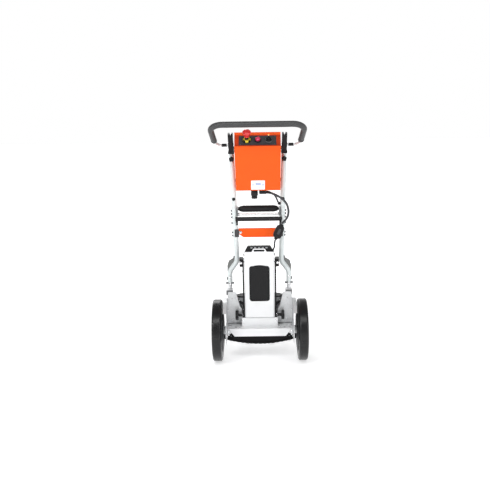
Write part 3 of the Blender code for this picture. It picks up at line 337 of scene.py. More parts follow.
def cable_rubber(name, color):
    """Cable jacket: satin rubber with very fine extrusion lines and scuffs."""
    g = Graph(name, color, 0.45)
    scuffs = g.span(g.noise(150.0, 5.0, 0.7), 0.55, 0.75)
    grain = g.noise(1100.0, 3.0)
    g.bumps((grain, 0.15, 0.0001))
    return g.done(g.tones(scuffs, 0.95, 1.7), g.span(scuffs, 0.0, 1.0, 0.38, 0.6))


def board_material(name, color):
    """Circuit board: solder mask over fine tracks."""
    g = Graph(name, color, 0.35, coat_weight=0.3)
    tracks = g.cells(180.0, "DISTANCE_TO_EDGE")
    line = g.span(tracks, 0.02, 0.06)
    g.bumps((line, 0.2, 0.0001))
    return g.done(g.blend(line, (0.10, 0.34, 0.14), color), g.span(line, 0, 1, 0.3, 0.42))


def label_material(name, color):
    """Printed blank label: paper-smooth face with faint cloudiness."""
    g = Graph(name, color, 0.38, coat_weight=0.2)
    clouds = g.noise(45.0, 3.0)
    fibres = g.noise(900.0, 3.0)
    g.bumps((fibres, 0.05, 0.0001))
    return g.done(g.tones(clouds, 0.95, 1.0), g.span(clouds, 0.3, 0.7, 0.32, 0.44))


def lamp_material(name, color):
    """Small indicator lens that glows."""
    g = Graph(name, color, 0.15, emission_strength=1.4)
    g.shader.inputs["Emission Color"].default_value = (1.0, 0.36, 0.06, 1)
    clouds = g.noise(300.0, 2.0)
    g.bumps((clouds, 0.05, 0.0001))
    return g.done(g.tones(clouds, 0.9, 1.1))


def make_materials():
    """One material for each slot of the record, and the looks that differ from a slot's own."""
    rows = {row["slot"]: tuple(row["base_color"]) for row in frame["record"]["materials"]}
    made = {
        "galvanised": galvanised("zinc", rows["galvanised"]),
        "bright_steel": bright_steel("plated_steel", rows["bright_steel"]),
        "white_sheet": powder_coat("pale_coat", rows["white_sheet"], 0.36, 0.95, 1.04, 0.15),
        "orange_coat": powder_coat("orange_coat", (0.87, 0.098, 0.006), 0.40, 0.94, 1.04,
                                   shine=0.22),
        # darker copy of the orange coat: painted shade for the console's upward faces
        "orange_painted_shade": powder_coat("orange_coat_painted_shade", (0.60, 0.050, 0.008), 0.40, 0.92, 1.06,
                                   shine=0.22),
        "gusset_grey": powder_coat("grey_coat", (0.17, 0.175, 0.17), 0.40, 0.88, 1.15, 0.3),
        "black_coat": powder_coat("black_coat", (0.006, 0.006, 0.007), 0.46, 0.85, 1.4, shine=0.18),
        "dark_steel": powder_coat("dark_coat", rows["dark_steel"], 0.40, 0.85, 1.2, 0.5),
        "wheel_plastic": moulded("rim_plastic", rows["wheel_plastic"], 0.5),
        "panel_grey": moulded("panel_charcoal", rows["panel_grey"], 0.46, 1200.0, 0.12),
        "black_plastic": moulded("black_moulding", (0.012, 0.012, 0.013), 0.44, shine=0.25),
        "grey_housing": moulded("grey_moulding", rows["grey_housing"], 0.5, 500.0, 0.25, 1.12),
        "foam": foam_rubber("grip_foam", (0.040, 0.041, 0.042)),
        "tyre_rubber": tyre_rubber("solid_tyre", (0.011, 0.011, 0.012)),
        "sole_rubber": moulded("sole_rubber", rows["sole_rubber"], 0.72, 380.0, 0.4, 1.5),
        "cable_jacket": cable_rubber("cable_rubber", rows["cable_jacket"]),
        "yellow_plastic": gloss_plastic("yellow_moulding", rows["yellow_plastic"], 0.32),
        "red_plastic": gloss_plastic("red_moulding", rows["red_plastic"]),
        "circuit_board": board_material("board_green", rows["circuit_board"]),
        "cell_wrap": gloss_plastic("blue_wrap", rows["cell_wrap"], 0.35),
    }
    # looks that differ from their slot's own material
    made["zinc_tube"] = powder_coat("zinc_tube", (0.74, 0.79, 0.79), 0.34, 0.92, 1.05, 0.12)
    made["satin_steel"] = galvanised("satin_plate", (0.80, 0.81, 0.82))
    made["start_red"] = gloss_plastic("start_moulding", (0.62, 0.03, 0.10))
    made["stud_grey"] = moulded("stud_moulding", (0.30, 0.31, 0.32), 0.45)
    made["label"] = label_material("blank_label", (0.88, 0.88, 0.90))
    made["saddle_grey"] = powder_coat("saddle_coat", (0.055, 0.055, 0.058), 0.40, 0.88, 1.2, 0.2)
    made["label_tint"] = label_material("label_tint", (0.42, 0.47, 0.68))
    made["lamp"] = lamp_material("indicator_lens", (0.95, 0.45, 0.12))
    return made


# ---------------------------------------------------------------- mesh helpers
def add_piece(name, bm, smooth_deg=None):
    """Turn a bmesh into an object; faces turn outwards and sharp edges stay sharp."""
    bmesh.ops.recalc_face_normals(bm, faces=bm.faces)
    mesh = bpy.data.meshes.new(name)
    bm.to_mesh(mesh)
    bm.free()
    if "custom_normal" in mesh.attributes:
        mesh.attributes.remove(mesh.attributes["custom_normal"])
    obj = bpy.data.objects.new(name, mesh)
    bpy.context.scene.collection.objects.link(obj)
    if smooth_deg:
        mesh.shade_smooth()
        mesh.set_sharp_from_angle(angle=math.radians(smooth_deg))
    return obj


def wear(obj, slot, body, material=None):
    """Give a piece the material of its record slot, or the named look, and the body that it rides on."""
    obj.data.materials.clear()
    obj.data.materials.append(MATERIALS[material or slot])
    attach(obj, body)
    return obj


def stand_for(obj, node, material=None):
    """A piece that replaces one CAD node takes its slot's material, or the named look, and its body."""
    wear(obj, SLOT_OF[node], BODY_OF[node], material)
    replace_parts(obj, node)
    return obj


def bevel(obj, width, segments=2, angle=30.0):
    """Round the sharp edges, which catch the light like real folded or moulded ones."""
    modifier = obj.modifiers.new("round_edges", "BEVEL")
    modifier.width = width
    modifier.segments = segments
    modifier.limit_method = "ANGLE"
    modifier.angle_limit = math.radians(angle)
    modifier.harden_normals = True
    modifier.use_clamp_overlap = True
    return obj


def refined(node, width, segments=2, smooth_deg=34.0, material=None, framed=False):
    """A node's own shape as a clean mesh: flat faces merged, then its edges rounded.
    Framed shapes have flat faces round an opening, which stay in four-sided parts."""
    bm = bmesh.new()
    bm.from_mesh(frame["nodes"][node].data)
    bmesh.ops.remove_doubles(bm, verts=bm.verts, dist=0.00002)
    if framed:
        bmesh.ops.join_triangles(bm, faces=bm.faces, angle_face_threshold=math.radians(1),
                                 angle_shape_threshold=math.pi)
    else:
        bmesh.ops.dissolve_limit(bm, angle_limit=math.radians(1.5), verts=bm.verts, edges=bm.edges)
    obj = add_piece(f"{node}_shell", bm, smooth_deg)
    if width:
        bevel(obj, width, segments, smooth_deg)
    return stand_for(obj, node, material)


def basis(direction):
    """Two unit vectors square to a direction."""
    along = Vector(direction).normalized()
    side = along.cross(Vector((1, 0, 0)))
    if side.length < 0.1:
        side = along.cross(Vector((0, 1, 0)))
    side.normalize()
    return side, along.cross(side), along


def lathe(name, centre, direction, profile, sides=64, smooth_deg=32, lobes=None):
    """Turn (radius, height) points about an axis; lobes(angle, radius) reshapes the rings."""
    bm = bmesh.new()
    centre = Vector(centre)
    u, v, w = basis(direction)
    rings = []
    for radius, height in profile:
        if radius < 1e-6:
            rings.append([bm.verts.new(centre + w * height)])
            continue
        if not lobes:
            rings.append(circle(bm, centre + w * height, u, v, radius, sides))
            continue
        ring = []
        for k in range(sides):
            a = math.tau * k / sides
            ring.append(bm.verts.new(centre + w * height
                                     + (u * math.cos(a) + v * math.sin(a)) * lobes(a, radius)))
        rings.append(ring)
    pairs = list(zip(rings, rings[1:]))
    if len(rings[0]) > 1 and len(rings[-1]) > 1:
        pairs.append((rings[-1], rings[0]))
    for a, b in pairs:
        if len(a) > 1 or len(b) > 1:
            join_rings(bm, a, b)
    return add_piece(name, bm, smooth_deg)


def mirrored(half):
    """A turned profile and its mirror image, from half of its (radius, distance) points."""
    return half + [(r, -x) for r, x in reversed(half)]


def circle(bm, centre, u, v, radius, sides):
    """Vertices evenly round a centre, in the plane of u and v."""
    return [bm.verts.new(centre + (u * math.cos(math.tau * k / sides)
                                   + v * math.sin(math.tau * k / sides)) * radius)
            for k in range(sides)]


def closed_stack(bm, rings):
    """Skin a stack of rings and close both of its ends."""
    for a, b in zip(rings, rings[1:]):
        join_rings(bm, a, b)
    bm.faces.new(rings[0])
    bm.faces.new(rings[-1])


def join_rings(bm, a, b):
    """Skin two rings, either of which may be a single point."""
    count = max(len(a), len(b))
    for k in range(count):
        n = (k + 1) % count
        if len(a) == 1:
            bm.faces.new((a[0], b[k], b[n]))
        elif len(b) == 1:
            bm.faces.new((a[k], b[0], a[n]))
        else:
            bm.faces.new((a[k], b[k], b[n], a[n]))


def extruded(name, outline, to_world, start, end, smooth_deg=32):
    """A flat outline pushed through a thickness; to_world places (a, b, depth) in space."""
    bm = bmesh.new()
    low = [bm.verts.new(to_world(a, b, start)) for a, b in outline]
    high = [bm.verts.new(to_world(a, b, end)) for a, b in outline]
    bm.faces.new(low)
    bm.faces.new(high)
    join_rings(bm, low, high)
    return add_piece(name, bm, smooth_deg)


def slab(name, outline, place, low, high, edge, slot, body="chassis", material=None):
    """An extruded outline, dressed, whose edges are rounded by edge: (width, segments)."""
    return wear(bevel(extruded(name, outline, place, low, high), *edge), slot, body, material)


def turned(name, centre, direction, profile, sides, slot, body="chassis", material=None):
    """A turned shape, dressed."""
    return wear(lathe(name, centre, direction, profile, sides), slot, body, material)


def tube_along(name, path, radius, sides=32, bore=0.0, flare=None):
    """Sweep a circle along a path without twist; flare(share) scales the radius."""
    points = [Vector(p) for p in path]
    bm = bmesh.new()
    tangents = []
    for k, point in enumerate(points):
        before = points[max(0, k - 1)]
        after = points[min(len(points) - 1, k + 1)]
        tangents.append((after - before).normalized())
    u = basis(tangents[0])[0]
    rings = []
    for k, (point, tangent) in enumerate(zip(points, tangents)):
        if k:
            turn = tangents[k - 1].rotation_difference(tangent)
            u = turn @ u
        v = tangent.cross(u).normalized()
        share = k / (len(points) - 1)
        r = radius * (flare(share) if flare else 1.0)
        rings.append(circle(bm, point, u, v, r, sides))
    inside = bore / radius if bore else 0.55
    for ring, point in ((rings[0], points[0]), (rings[-1], points[-1])):
        inner = [bm.verts.new(point + (vert.co - point) * inside) for vert in ring]
        join_rings(bm, ring, inner)
        if not bore:
            bm.faces.new(inner)
    for a, b in zip(rings, rings[1:]):
        join_rings(bm, a, b)
    return add_piece(name, bm, 40)


def arc(centre, radius, start_deg, end_deg, steps):
    """Points on an arc, both ends included."""
    points = []
    for k in range(steps + 1):
        a = math.radians(start_deg + (end_deg - start_deg) * k / steps)
        points.append((centre[0] + radius * math.cos(a), centre[1] + radius * math.sin(a)))
    return points


def rounded_outline(low, high, radius, steps=6):
    """A rectangle's outline with round corners."""
    (x0, y0), (x1, y1) = low, high
    r = min(radius, (x1 - x0) / 2 - 1e-5, (y1 - y0) / 2 - 1e-5)
    return (arc((x1 - r, y1 - r), r, 0, 90, steps) + arc((x0 + r, y1 - r), r, 90, 180, steps)
            + arc((x0 + r, y0 + r), r, 180, 270, steps) + arc((x1 - r, y0 + r), r, 270, 360, steps))


def rounded_corners(points, radius, steps=10):
    """Replace each inner corner of a path by a round bend."""
    points = [Vector(p) for p in points]
    radii = radius if isinstance(radius, (list, tuple)) else [radius] * (len(points) - 2)
    path = [points[0]]
    for before, corner, after, bend in zip(points, points[1:], points[2:], radii):
        a, b = (before - corner).normalized(), (after - corner).normalized()
        half = a.angle(b) / 2
        reach = bend / math.tan(half)
        centre = corner + (a + b).normalized() * (bend / math.sin(half))
        start, end = corner + a * reach - centre, corner + b * reach - centre
        swing = start.rotation_difference(end)
        for k in range(steps + 1):
            path.append(centre + Quaternion().slerp(swing, k / steps) @ start)
    return path + [points[-1]]


def hex_bolt(name, spot, direction, size=0.008, height=0.0045, washer=True, slot="bright_steel",
             body="chassis"):
    """Hex head with a chamfered top, standing on a washer."""
    bm = bmesh.new()
    u, v, w = basis(direction)
    spot = Vector(spot)
    base = 0.0009 if washer else 0.0
    corner = size / math.sqrt(3)
    closed_stack(bm, [circle(bm, spot + w * level, u, v, corner * share, 6) for share, level in
                      ((1.0, base), (1.0, base + height * 0.82), (0.94, base + height))])
    if washer:
        closed_stack(bm, [circle(bm, spot + w * level, u, v, size * share, 24) for share, level in
                          ((0.85, 0.0), (0.85, base * 0.8), (0.78, base))])
    return wear(bevel(add_piece(name, bm, 30), 0.0003, 2, 40), slot, body)


def socket_screw(name, spot, direction, radius=0.004, height=0.003, slot="dark_steel",
                 body="chassis"):
    """Button-head screw with a hexagon socket."""
    u, v, w = basis(direction)
    spot = Vector(spot)
    bm = bmesh.new()
    sides = 24
    rings = [circle(bm, spot + w * (level * height), u, v, radius * share, sides)
             for share, level in ((1.0, 0.0), (1.0, 0.25), (0.93, 0.60), (0.78, 0.85), (0.55, 1.0))]
    for a, b in zip(rings, rings[1:]):
        join_rings(bm, a, b)
    bm.faces.new(rings[0])
    socket = []
    for level in (1.0, 0.35):
        wall = []
        for k in range(sides):
            turn = math.tau * k / sides
            reach = 0.42 * radius / math.cos((turn + math.pi / 6) % (math.pi / 3) - math.pi / 6)
            wall.append(bm.verts.new(spot + w * (level * height)
                                     + (u * math.cos(turn) + v * math.sin(turn)) * reach))
        socket.append(wall)
    join_rings(bm, rings[-1], socket[0])
    join_rings(bm, socket[0], socket[1])
    bm.faces.new(socket[1])
    return wear(add_piece(name, bm, 30), slot, body)


# ---------------------------------------------------------------- frame tubes and handle
TUBE_RADIUS = 0.0127
TUBE_BORE = 0.0105
UPRIGHT_TOP = 1.0062
BEND_TOP = 0.477
BEND_BOTTOM = 0.427
UPRIGHT_BOTTOM = 0.3725
BEND_RADIUS = 0.045
SOCKET_X = 0.1455
SOCKET_Y = 0.030
PIVOT = Vector(JOINTS["handle_tilt"]["pos_m"])
HANDLE_TUBE_RADIUS = 0.0065
HANDLE_HALF_WIDTH = 0.2088
HANDLE_BEND = 0.054
KNEE_BEND = 0.030
GRIP_RADIUS = 0.0134
GRIP_BORE = 0.0069
BAR_Y = -0.260
BAR_Z = 1.135


def upright_x(z):
    """Distance of an upright's axis from the middle at height z."""
    return 0.1085 + math.tan(SPLAY) * (z - 0.493)


def upright_y(z):
    """Y of the uprights' axes at height z."""
    return 0.020 - math.tan(LEAN) * (z - 0.5)


def upright_front(side, z, depth=0.0):
    """A point on the operator's side of an upright, depth metres below its skin."""
    return Vector((side * upright_x(z), upright_y(z) - (TUBE_RADIUS - depth) / math.cos(LEAN), z))


FRONT = Vector((0, -math.cos(LEAN), -math.sin(LEAN)))


def resampled(path, spacing):
    """The same path with points at most one spacing apart."""
    points = [Vector(p) for p in path]
    result = [points[0]]
    for a, b in zip(points, points[1:]):
        count = max(1, math.ceil((b - a).length / spacing))
        result += [a.lerp(b, k / count) for k in range(1, count + 1)]
    return result


def make_uprights():
    for word, side in SIDES:
        corners = [(side * upright_x(UPRIGHT_TOP), upright_y(UPRIGHT_TOP), UPRIGHT_TOP),
                   (side * upright_x(BEND_TOP), upright_y(BEND_TOP), BEND_TOP),
                   (side * SOCKET_X, SOCKET_Y, BEND_BOTTOM),
                   (side * SOCKET_X, SOCKET_Y, UPRIGHT_BOTTOM)]
        path = resampled(rounded_corners(corners, BEND_RADIUS), 0.03)
        tube = tube_along(f"upright_tube_{word}", path, TUBE_RADIUS, 40, bore=TUBE_BORE)
        stand_for(tube, f"upright_{word}", "zinc_tube")
        for z in (0.733, 0.717, 0.700, 0.672, 0.625, 0.609, 0.500):
            spot = (side * (upright_x(z) + TUBE_RADIUS - 0.0004), upright_y(z), z)
            hex_bolt(f"side_bolt_{word}_{round(z * 1000)}", spot, (side, 0, 0), 0.0082, 0.0050,
                     slot="dark_steel")
        make_plug(f"tube_plug_{word}", upright_front(side, 0.790, 0.0012), FRONT)
        gusset = [(side * x, z) for x, z in ((0.1180, 0.4960), (0.1270, 0.4940), (0.1500, 0.4800),
                                             (0.1572, 0.4560), (0.1572, 0.4020), (0.1455, 0.4020),
                                             (0.1400, 0.4400), (0.1200, 0.4700))]
        slab(f"bend_gusset_{word}", gusset, lambda a, b, d: Vector((a, d, b)), 0.0262, 0.0292,
             (0.0008, 2), "dark_steel", material="gusset_grey")


def make_plug(name, spot, direction):
    """Black push-in cap with a domed head and a ring groove."""
    profile = [(0, 0.0), (0.0078, 0.0), (0.0080, 0.0016), (0.0074, 0.0026), (0.0058, 0.0032),
               (0.0054, 0.0027), (0.0050, 0.0032), (0.0026, 0.0037), (0, 0.0038)]
    turned(name, spot, direction, profile, 40, "black_plastic")


def handle_corners():
    """Corner points of the handle loop from the left pivot to the right one."""
    start = (PIVOT.y, PIVOT.z)
    knee = (start[0] + 0.14 * (BAR_Y - start[0]), start[1] + 0.14 * (BAR_Z - start[1]))
    pivot_x = upright_x(PIVOT.z)
    left = [(-(pivot_x + 0.0095), *start), (-(pivot_x + 0.052), *start), (-0.1965, *knee),
            (-HANDLE_HALF_WIDTH, BAR_Y, BAR_Z)]
    return [Vector(p) for p in left + [(-x, y, z) for x, y, z in reversed(left)]]


def make_handle():
    """Plated loop, foam over its bar and legs, and black bushes beside the pivots."""
    corners = handle_corners()
    bends = [KNEE_BEND, KNEE_BEND, HANDLE_BEND, HANDLE_BEND, KNEE_BEND, KNEE_BEND]
    path = resampled(rounded_corners(corners, bends), 0.02)
    stand_for(tube_along("handle_loop", path, HANDLE_TUBE_RADIUS, 32), "handle_tube", "satin_steel")

    first = corners[2].lerp(corners[3], 0.085)
    last = corners[5].lerp(corners[4], 0.085)
    grip_path = resampled(rounded_corners([first, corners[3], corners[4], last], HANDLE_BEND, 16), 0.004)
    length = sum((b - a).length for a, b in zip(grip_path, grip_path[1:]))

    def swell(share):
        """Rounded ends and a faint unevenness where hands have pressed the foam."""
        reach = min(share, 1 - share) * length
        end = 1 - 0.14 * max(0.0, 1 - reach / 0.004) ** 2
        wave = 0.008 * math.sin(share * 23.0) + 0.005 * math.sin(share * 61.0 + 1.0)
        return end * (1 - 0.012 + wave)
    stand_for(tube_along("grip_sleeve", grip_path, GRIP_RADIUS, 40, bore=GRIP_BORE, flare=swell),
              "foam_grip")

    for word, side in SIDES:
        bush = [(0.0066, 0), (0.0078, 0.0003), (0.0082, 0.002), (0.0076, 0.003), (0.0076, 0.020),
                (0.0080, 0.021), (0.0076, 0.0235), (0.0066, 0.024)]
        spot = (side * 0.1420, PIVOT.y, PIVOT.z)
        turned(f"pivot_bush_{word}", spot, (side, 0, 0), bush, 36, "black_plastic", "handle")
        for order, share in enumerate((0.10, 0.16)):
            along = corners[2].lerp(corners[3], share) if side < 0 else corners[5].lerp(corners[4], share)
            lean = (corners[3] - corners[2]) if side < 0 else (corners[4] - corners[5])
            ring = [(GRIP_RADIUS - 0.0006, -0.0011), (GRIP_RADIUS + 0.0004, -0.0008),
                    (GRIP_RADIUS + 0.0004, 0.0008), (GRIP_RADIUS - 0.0006, 0.0011)]
            turned(f"grip_ring_{word}_{order}", along, lean, ring, 40, "foam", "handle")


def make_sleeves():
    """End fittings with their V notch, pivot washers and the clamp knobs."""
    for word, side in SIDES:
        refined(f"pivot_sleeve_{word}", 0.0014, 3)
        for name, x in (("inner", upright_x(PIVOT.z) - 0.0118), ("outer", upright_x(PIVOT.z) + 0.0118)):
            way = 1 if name == "outer" else -1
            washer = [(0.0067, 0), (0.0118, 0), (0.0120, 0.0008), (0.0115, 0.0014), (0.0067, 0.0014)]
            turned(f"pivot_washer_{name}_{word}", (side * x, PIVOT.y, PIVOT.z), (side * way, 0, 0),
                   washer, 40, "bright_steel", "handle")
        z = JOINTS[f"clamp_knob_{word}_turn"]["pos_m"][2]
        spot = upright_front(side, z)

        def lobes(angle, radius):
            return radius * (1 + 0.09 * math.cos(5 * angle)) if radius > 0.009 else radius
        profile = [(0, 0.0010), (0.0046, 0.0010), (0.0046, 0.0060), (0.0090, 0.0068),
                   (0.0108, 0.0085), (0.0114, 0.0110), (0.0114, 0.0160), (0.0106, 0.0185),
                   (0.0090, 0.0196), (0.0060, 0.0198), (0.0055, 0.0190), (0, 0.0190)]
        knob = lathe(f"clamp_grip_{word}", spot, FRONT, profile, 60, 40, lobes)
        stand_for(knob, f"clamp_knob_{word}")
        ring = [(0.0048, 0.0004), (0.0085, 0.0004), (0.0085, 0.0018), (0.0048, 0.0018)]
        turned(f"clamp_washer_{word}", spot, FRONT, ring, 32, "bright_steel", f"clamp_{word}")


# ---------------------------------------------------------------- wheels
def make_wheels():
    """Solid tyres with moulded ribs on ribbed rims, and axle caps."""
    low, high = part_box("tyre_right")
    half = (high.x - low.x) / 2
    radius = (high.z - low.z) / 2
    for word, side in SIDES:
        centre = Vector(JOINTS[f"wheel_{word}_spin"]["pos_m"])
        body = f"wheel_{word}"
        seat = 0.1053
        tread = []
        grooves = 5
        for k in range(grooves):
            x = -0.0110 + 0.022 * k / (grooves - 1)
            tread += [(radius, x - 0.0016), (radius - 0.0007, x - 0.0009),
                      (radius - 0.0007, x + 0.0009), (radius, x + 0.0016)]
        shoulder = [(radius - 0.0105, half), (radius - 0.0062, half - 0.0009),
                    (radius - 0.0030, half - 0.0026), (radius - 0.0009, half - 0.0055),
                    (radius, half - 0.0085)]
        wall = [(seat, half - 0.0060), (seat + 0.0040, half - 0.0022), (seat + 0.0085, half - 0.0004),
                (seat + 0.0150, half), (seat + 0.0158, half - 0.0008), (seat + 0.0180, half - 0.0008),
                (seat + 0.0188, half), (seat + 0.0270, half), (seat + 0.0276, half - 0.0006),
                (seat + 0.0290, half - 0.0006), (seat + 0.0296, half)]
        flank = wall + shoulder
        profile = flank + tread[::-1] + [(r, -h) for r, h in reversed(flank)]
        tyre = lathe(f"solid_tyre_{word}", centre, (1, 0, 0), profile, 160, 38)
        stand_for(tyre, f"tyre_{word}")
        make_rim(word, side, centre, body, half)


RIM_RADIUS = 0.1050
RIM_RIBS = 8


def make_rim(word, side, centre, body, half):
    """Dished rim with a rolled lip, its ribs, inner disc and hub cap."""
    flank = [(0.0104, 0.0190), (0.0118, 0.0195), (0.0225, 0.0195), (0.0240, 0.0185),
             (0.0262, 0.0100), (0.0290, 0.0062), (0.0360, 0.0048), (0.0830, 0.0034),
             (0.0880, 0.0042), (0.0925, 0.0080), (0.0950, 0.0118), (0.0965, half - 0.0088),
             (0.0985, half - 0.0066), (0.1020, half - 0.0062), (0.1044, half - 0.0068),
             (RIM_RADIUS, half - 0.0085)]
    stand_for(lathe(f"rim_{word}", centre, (1, 0, 0), mirrored(flank), 120, 36),
              f"wheel_hub_{word}")
    wear(bevel(rim_ribs(f"rim_ribs_{word}", centre), 0.0009, 2), "wheel_plastic", body)
    disc = [(0.0240, 0.0215), (0.0240, 0.0262), (0.0300, 0.0276), (0.0560, 0.0280), (0.0580, 0.0272),
            (0.0620, 0.0272), (0.0640, 0.0280), (0.0900, 0.0280), (0.0985, 0.0268), (0.1008, 0.0240),
            (0.1008, 0.0215), (0.0240, 0.0215)]
    turned(f"rim_disc_{word}", centre, (-side, 0, 0), disc, 96, "wheel_plastic", body)
    cap = [(0, 0.0), (0.0170, 0.0), (0.0178, 0.0004), (0.0174, 0.0016), (0.0150, 0.0024),
           (0.0100, 0.0027), (0.0094, 0.0022), (0.0088, 0.0027), (0, 0.0030)]
    turned(f"hub_cap_{word}", centre + Vector((side * 0.0196, 0, 0)), (side, 0, 0), cap, 48,
           "black_plastic", body)


def rim_ribs(name, centre):
    """Tapered ribs from the hub to the rim, on both faces of a wheel."""
    bm = bmesh.new()
    for face in (-1, 1):
        for k in range(RIM_RIBS):
            angle = math.tau * (k + 0.5) / RIM_RIBS
            out = Vector((0, math.cos(angle), math.sin(angle)))
            across = Vector((0, -math.sin(angle), math.cos(angle)))
            section = []
            for r, height, width in ((0.0245, 0.0150, 0.0062), (0.040, 0.0118, 0.0054),
                                     (0.070, 0.0100, 0.0048), (0.0925, 0.0105, 0.0060)):
                mid = centre + out * r
                foot = mid + Vector((face * 0.0030, 0, 0))
                top = mid + Vector((face * height, 0, 0))
                section.append([bm.verts.new(foot - across * width), bm.verts.new(foot + across * width),
                                bm.verts.new(top + across * width * 0.55),
                                bm.verts.new(top - across * width * 0.55)])
            closed_stack(bm, section)
    return add_piece(name, bm, 40)


# ---------------------------------------------------------------- bars between the uprights
def make_roller():
    """Ribbed back roller between its two brackets."""
    box_low, box_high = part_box("back_roller")
    centre = (box_low + box_high) / 2
    reach = box_high.x
    half = [(0, reach), (0.004, reach), (0.004, reach - 0.0030), (0.0078, reach - 0.0032),
            (0.0080, reach - 0.0040), (0.0080, 0.0925), (0.0100, 0.0920), (0.0121, 0.0898),
            (0.0126, 0.0880), (0.0153, 0.0757), (0.0158, 0.0730)]
    ribs = []
    count = 9
    for k in range(count):
        x = 0.060 - 0.120 * k / (count - 1)
        ribs += [(0.0158, x + 0.0011), (0.0153, x + 0.0005), (0.0153, x - 0.0005),
                 (0.0158, x - 0.0011)]
    profile = half + ribs + [(r, -x) for r, x in reversed(half)]
    stand_for(lathe("roller_body", centre, (1, 0, 0), profile, 64), "back_roller")
    for word, side in SIDES:
        refined(f"roller_bracket_{word}", 0.0006, 2)
        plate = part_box(f"roller_bracket_{word}")
        face_x = plate[0].x if side > 0 else plate[1].x
        for order, z in enumerate((0.7165, 0.7465)):
            spot = (face_x, upright_y(z) + 0.014 * (-1) ** order, z)
            socket_screw(f"bracket_screw_{word}_{order}", spot,
                         (-side, 0, 0), 0.0032, 0.0022, "bright_steel")


def make_tie_rod():
    """Silver rod under the roller, with a nut on each end."""
    refined("tie_rod", 0.0004, material="satin_steel")
    low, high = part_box("tie_rod")
    middle = (low + high) / 2
    for word, side in SIDES:
        nut_x = side * (high.x - 0.0065)
        hex_bolt(f"tie_nut_{word}", (nut_x, middle.y, middle.z), (side, 0, 0), 0.0150, 0.0048, False)


def make_cross_bar():
    """Black tube with end sleeves, its two hanging gussets and their screws."""
    low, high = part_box("cross_bar")
    axis_z = high.z - 0.0103
    axis_y = low.y + 0.0103
    reach = high.x
    end = [(0, reach), (0.0088, reach), (0.0100, reach - 0.0008), (0.0103, reach - 0.0024),
           (0.0103, reach - 0.0120), (0.0096, reach - 0.0128), (0.0096, reach - 0.0148),
           (0.0103, reach - 0.0156)]
    bar = lathe("bar_tube", (0, axis_y, axis_z), (1, 0, 0), mirrored(end), 56)
    stand_for(bar, "cross_bar")
    for word, side in SIDES:
        outline = rounded_outline((-0.0052, 0.664), (0.0052, 0.7005), 0.0020)
        slab(f"bar_gusset_{word}", outline, lambda a, b, d: Vector((side * 0.1036 + a, axis_y + d, b)),
             0.0, 0.0038, (0.0005,), "black_plastic")
        socket_screw(f"gusset_screw_{word}", (side * 0.1036, axis_y, 0.6725), (0, -1, 0), 0.0034, 0.0024)


def make_cross_plate():
    """Orange plate, bolted to the uprights through square saddles."""
    refined("cross_plate", 0.0008, 3)
    low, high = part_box("cross_plate")
    for word, side in SIDES:
        hex_bolt(f"plate_bolt_{word}", (side * (high.x - 0.0095), low.y, (low.z + high.z) / 2 + 0.003),
                 (0, -1, 0), 0.0082, 0.0040)
        z = (low.z + high.z) / 2
        saddle_x = side * (upright_x(z) - 0.0062)
        face = rounded_outline((-0.0108, -0.0195), (0.0108, 0.0195), 0.0022)
        skin_y = upright_front(side, z).y

        def saddle_place(a, b, d):
            return Vector((saddle_x + a, skin_y + d - math.tan(LEAN) * b, z + b))
        slab(f"tube_saddle_{word}", face, saddle_place, -0.0016, 0.0040, (0.0008, 3), "dark_steel",
             material="saddle_grey")


# ---------------------------------------------------------------- control box
def console_frame():
    """Middle of the control row, up-slope direction and normal of the console, from its joints."""
    normal = -Vector(JOINTS["stop_press"]["axis"]).normalized()
    up = normal.cross(Vector((1, 0, 0))).normalized()
    if up.z < 0:
        up = -up
    row = Vector(JOINTS["selector_turn"]["pos_m"])
    row.x = 0
    return row, up, normal


ROW, SLOPE, NORMAL = console_frame()


def on_console(x, up=0.0, height=0.0):
    """A point on the console by its distance right, up the slope from the row, and above it."""
    return ROW + Vector((x, 0, 0)) + SLOPE * up + NORMAL * height


def console_slab(name, outline, low, high, slot="black_plastic", x=0.0, material=None):
    """A flat outline lying on the console, chamfered a little."""
    piece = extruded(name, outline, lambda a, b, d: on_console(x + a, b, d), low, high)
    return wear(bevel(piece, 0.0004, 2), slot, "chassis", material)


ACROSS = Vector((1, 0, 0))
RISE = FRONT.cross(ACROSS)      # up along the box's faces, which lean as the uprights do


def front_y(z):
    """Y of the control box's front face at height z."""
    return -0.125 - math.tan(LEAN) * (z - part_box("box_shell")[0].z)


CONSOLE_EDGE_Z = 1.0415         # front edge of the sloped console, whose upward faces get a darker orange as painted shade


def make_control_box():
    """Folded orange case with painted shade on its sloped console, the rear cover and the control panel."""
    shell = refined("box_shell", 0.0009, 3, 20, framed=True)
    # the console's upward faces take the darker orange: painted shade
    shell.data.materials.append(MATERIALS["orange_painted_shade"])
    for face in shell.data.polygons:
        if face.center.z > CONSOLE_EDGE_Z and face.normal.z > 0.2:
            face.material_index = 1
    refined("box_rear_cover", 0.0010, 2, 20)
    refined("panel_plate", 0.0006, 2)


def make_label():
    """Blank label with faint blocks of tint in place of any text."""
    label = rounded_outline((-0.0316, -0.0215), (0.0316, 0.0215), 0.0022)
    middle = Vector((-0.0006, front_y(0.8625), 0.8625))

    def on_front(a, b, d):
        return middle + ACROSS * a + RISE * b + FRONT * d
    slab("blank_label", label, on_front, 0.0, 0.0006, (0.0002, 1), "white_sheet", material="label")
    blocks = ((-0.0110, -0.0010, 0.0130, 0.0105), (-0.0270, -0.0020, -0.0190, 0.0040),
              (0.0190, -0.0030, 0.0270, 0.0050), (-0.0280, -0.0120, 0.0280, -0.0110),
              (-0.0280, -0.0150, 0.0160, -0.0140), (-0.0160, 0.0140, 0.0160, 0.0152))
    for order, (left, bottom, right, top) in enumerate(blocks):
        block = rounded_outline((left, bottom), (right, top), 0.0004)
        wear(extruded(f"label_block_{order}", block, on_front, 0.0005, 0.0007), "panel_grey", "chassis",
             "label_tint")


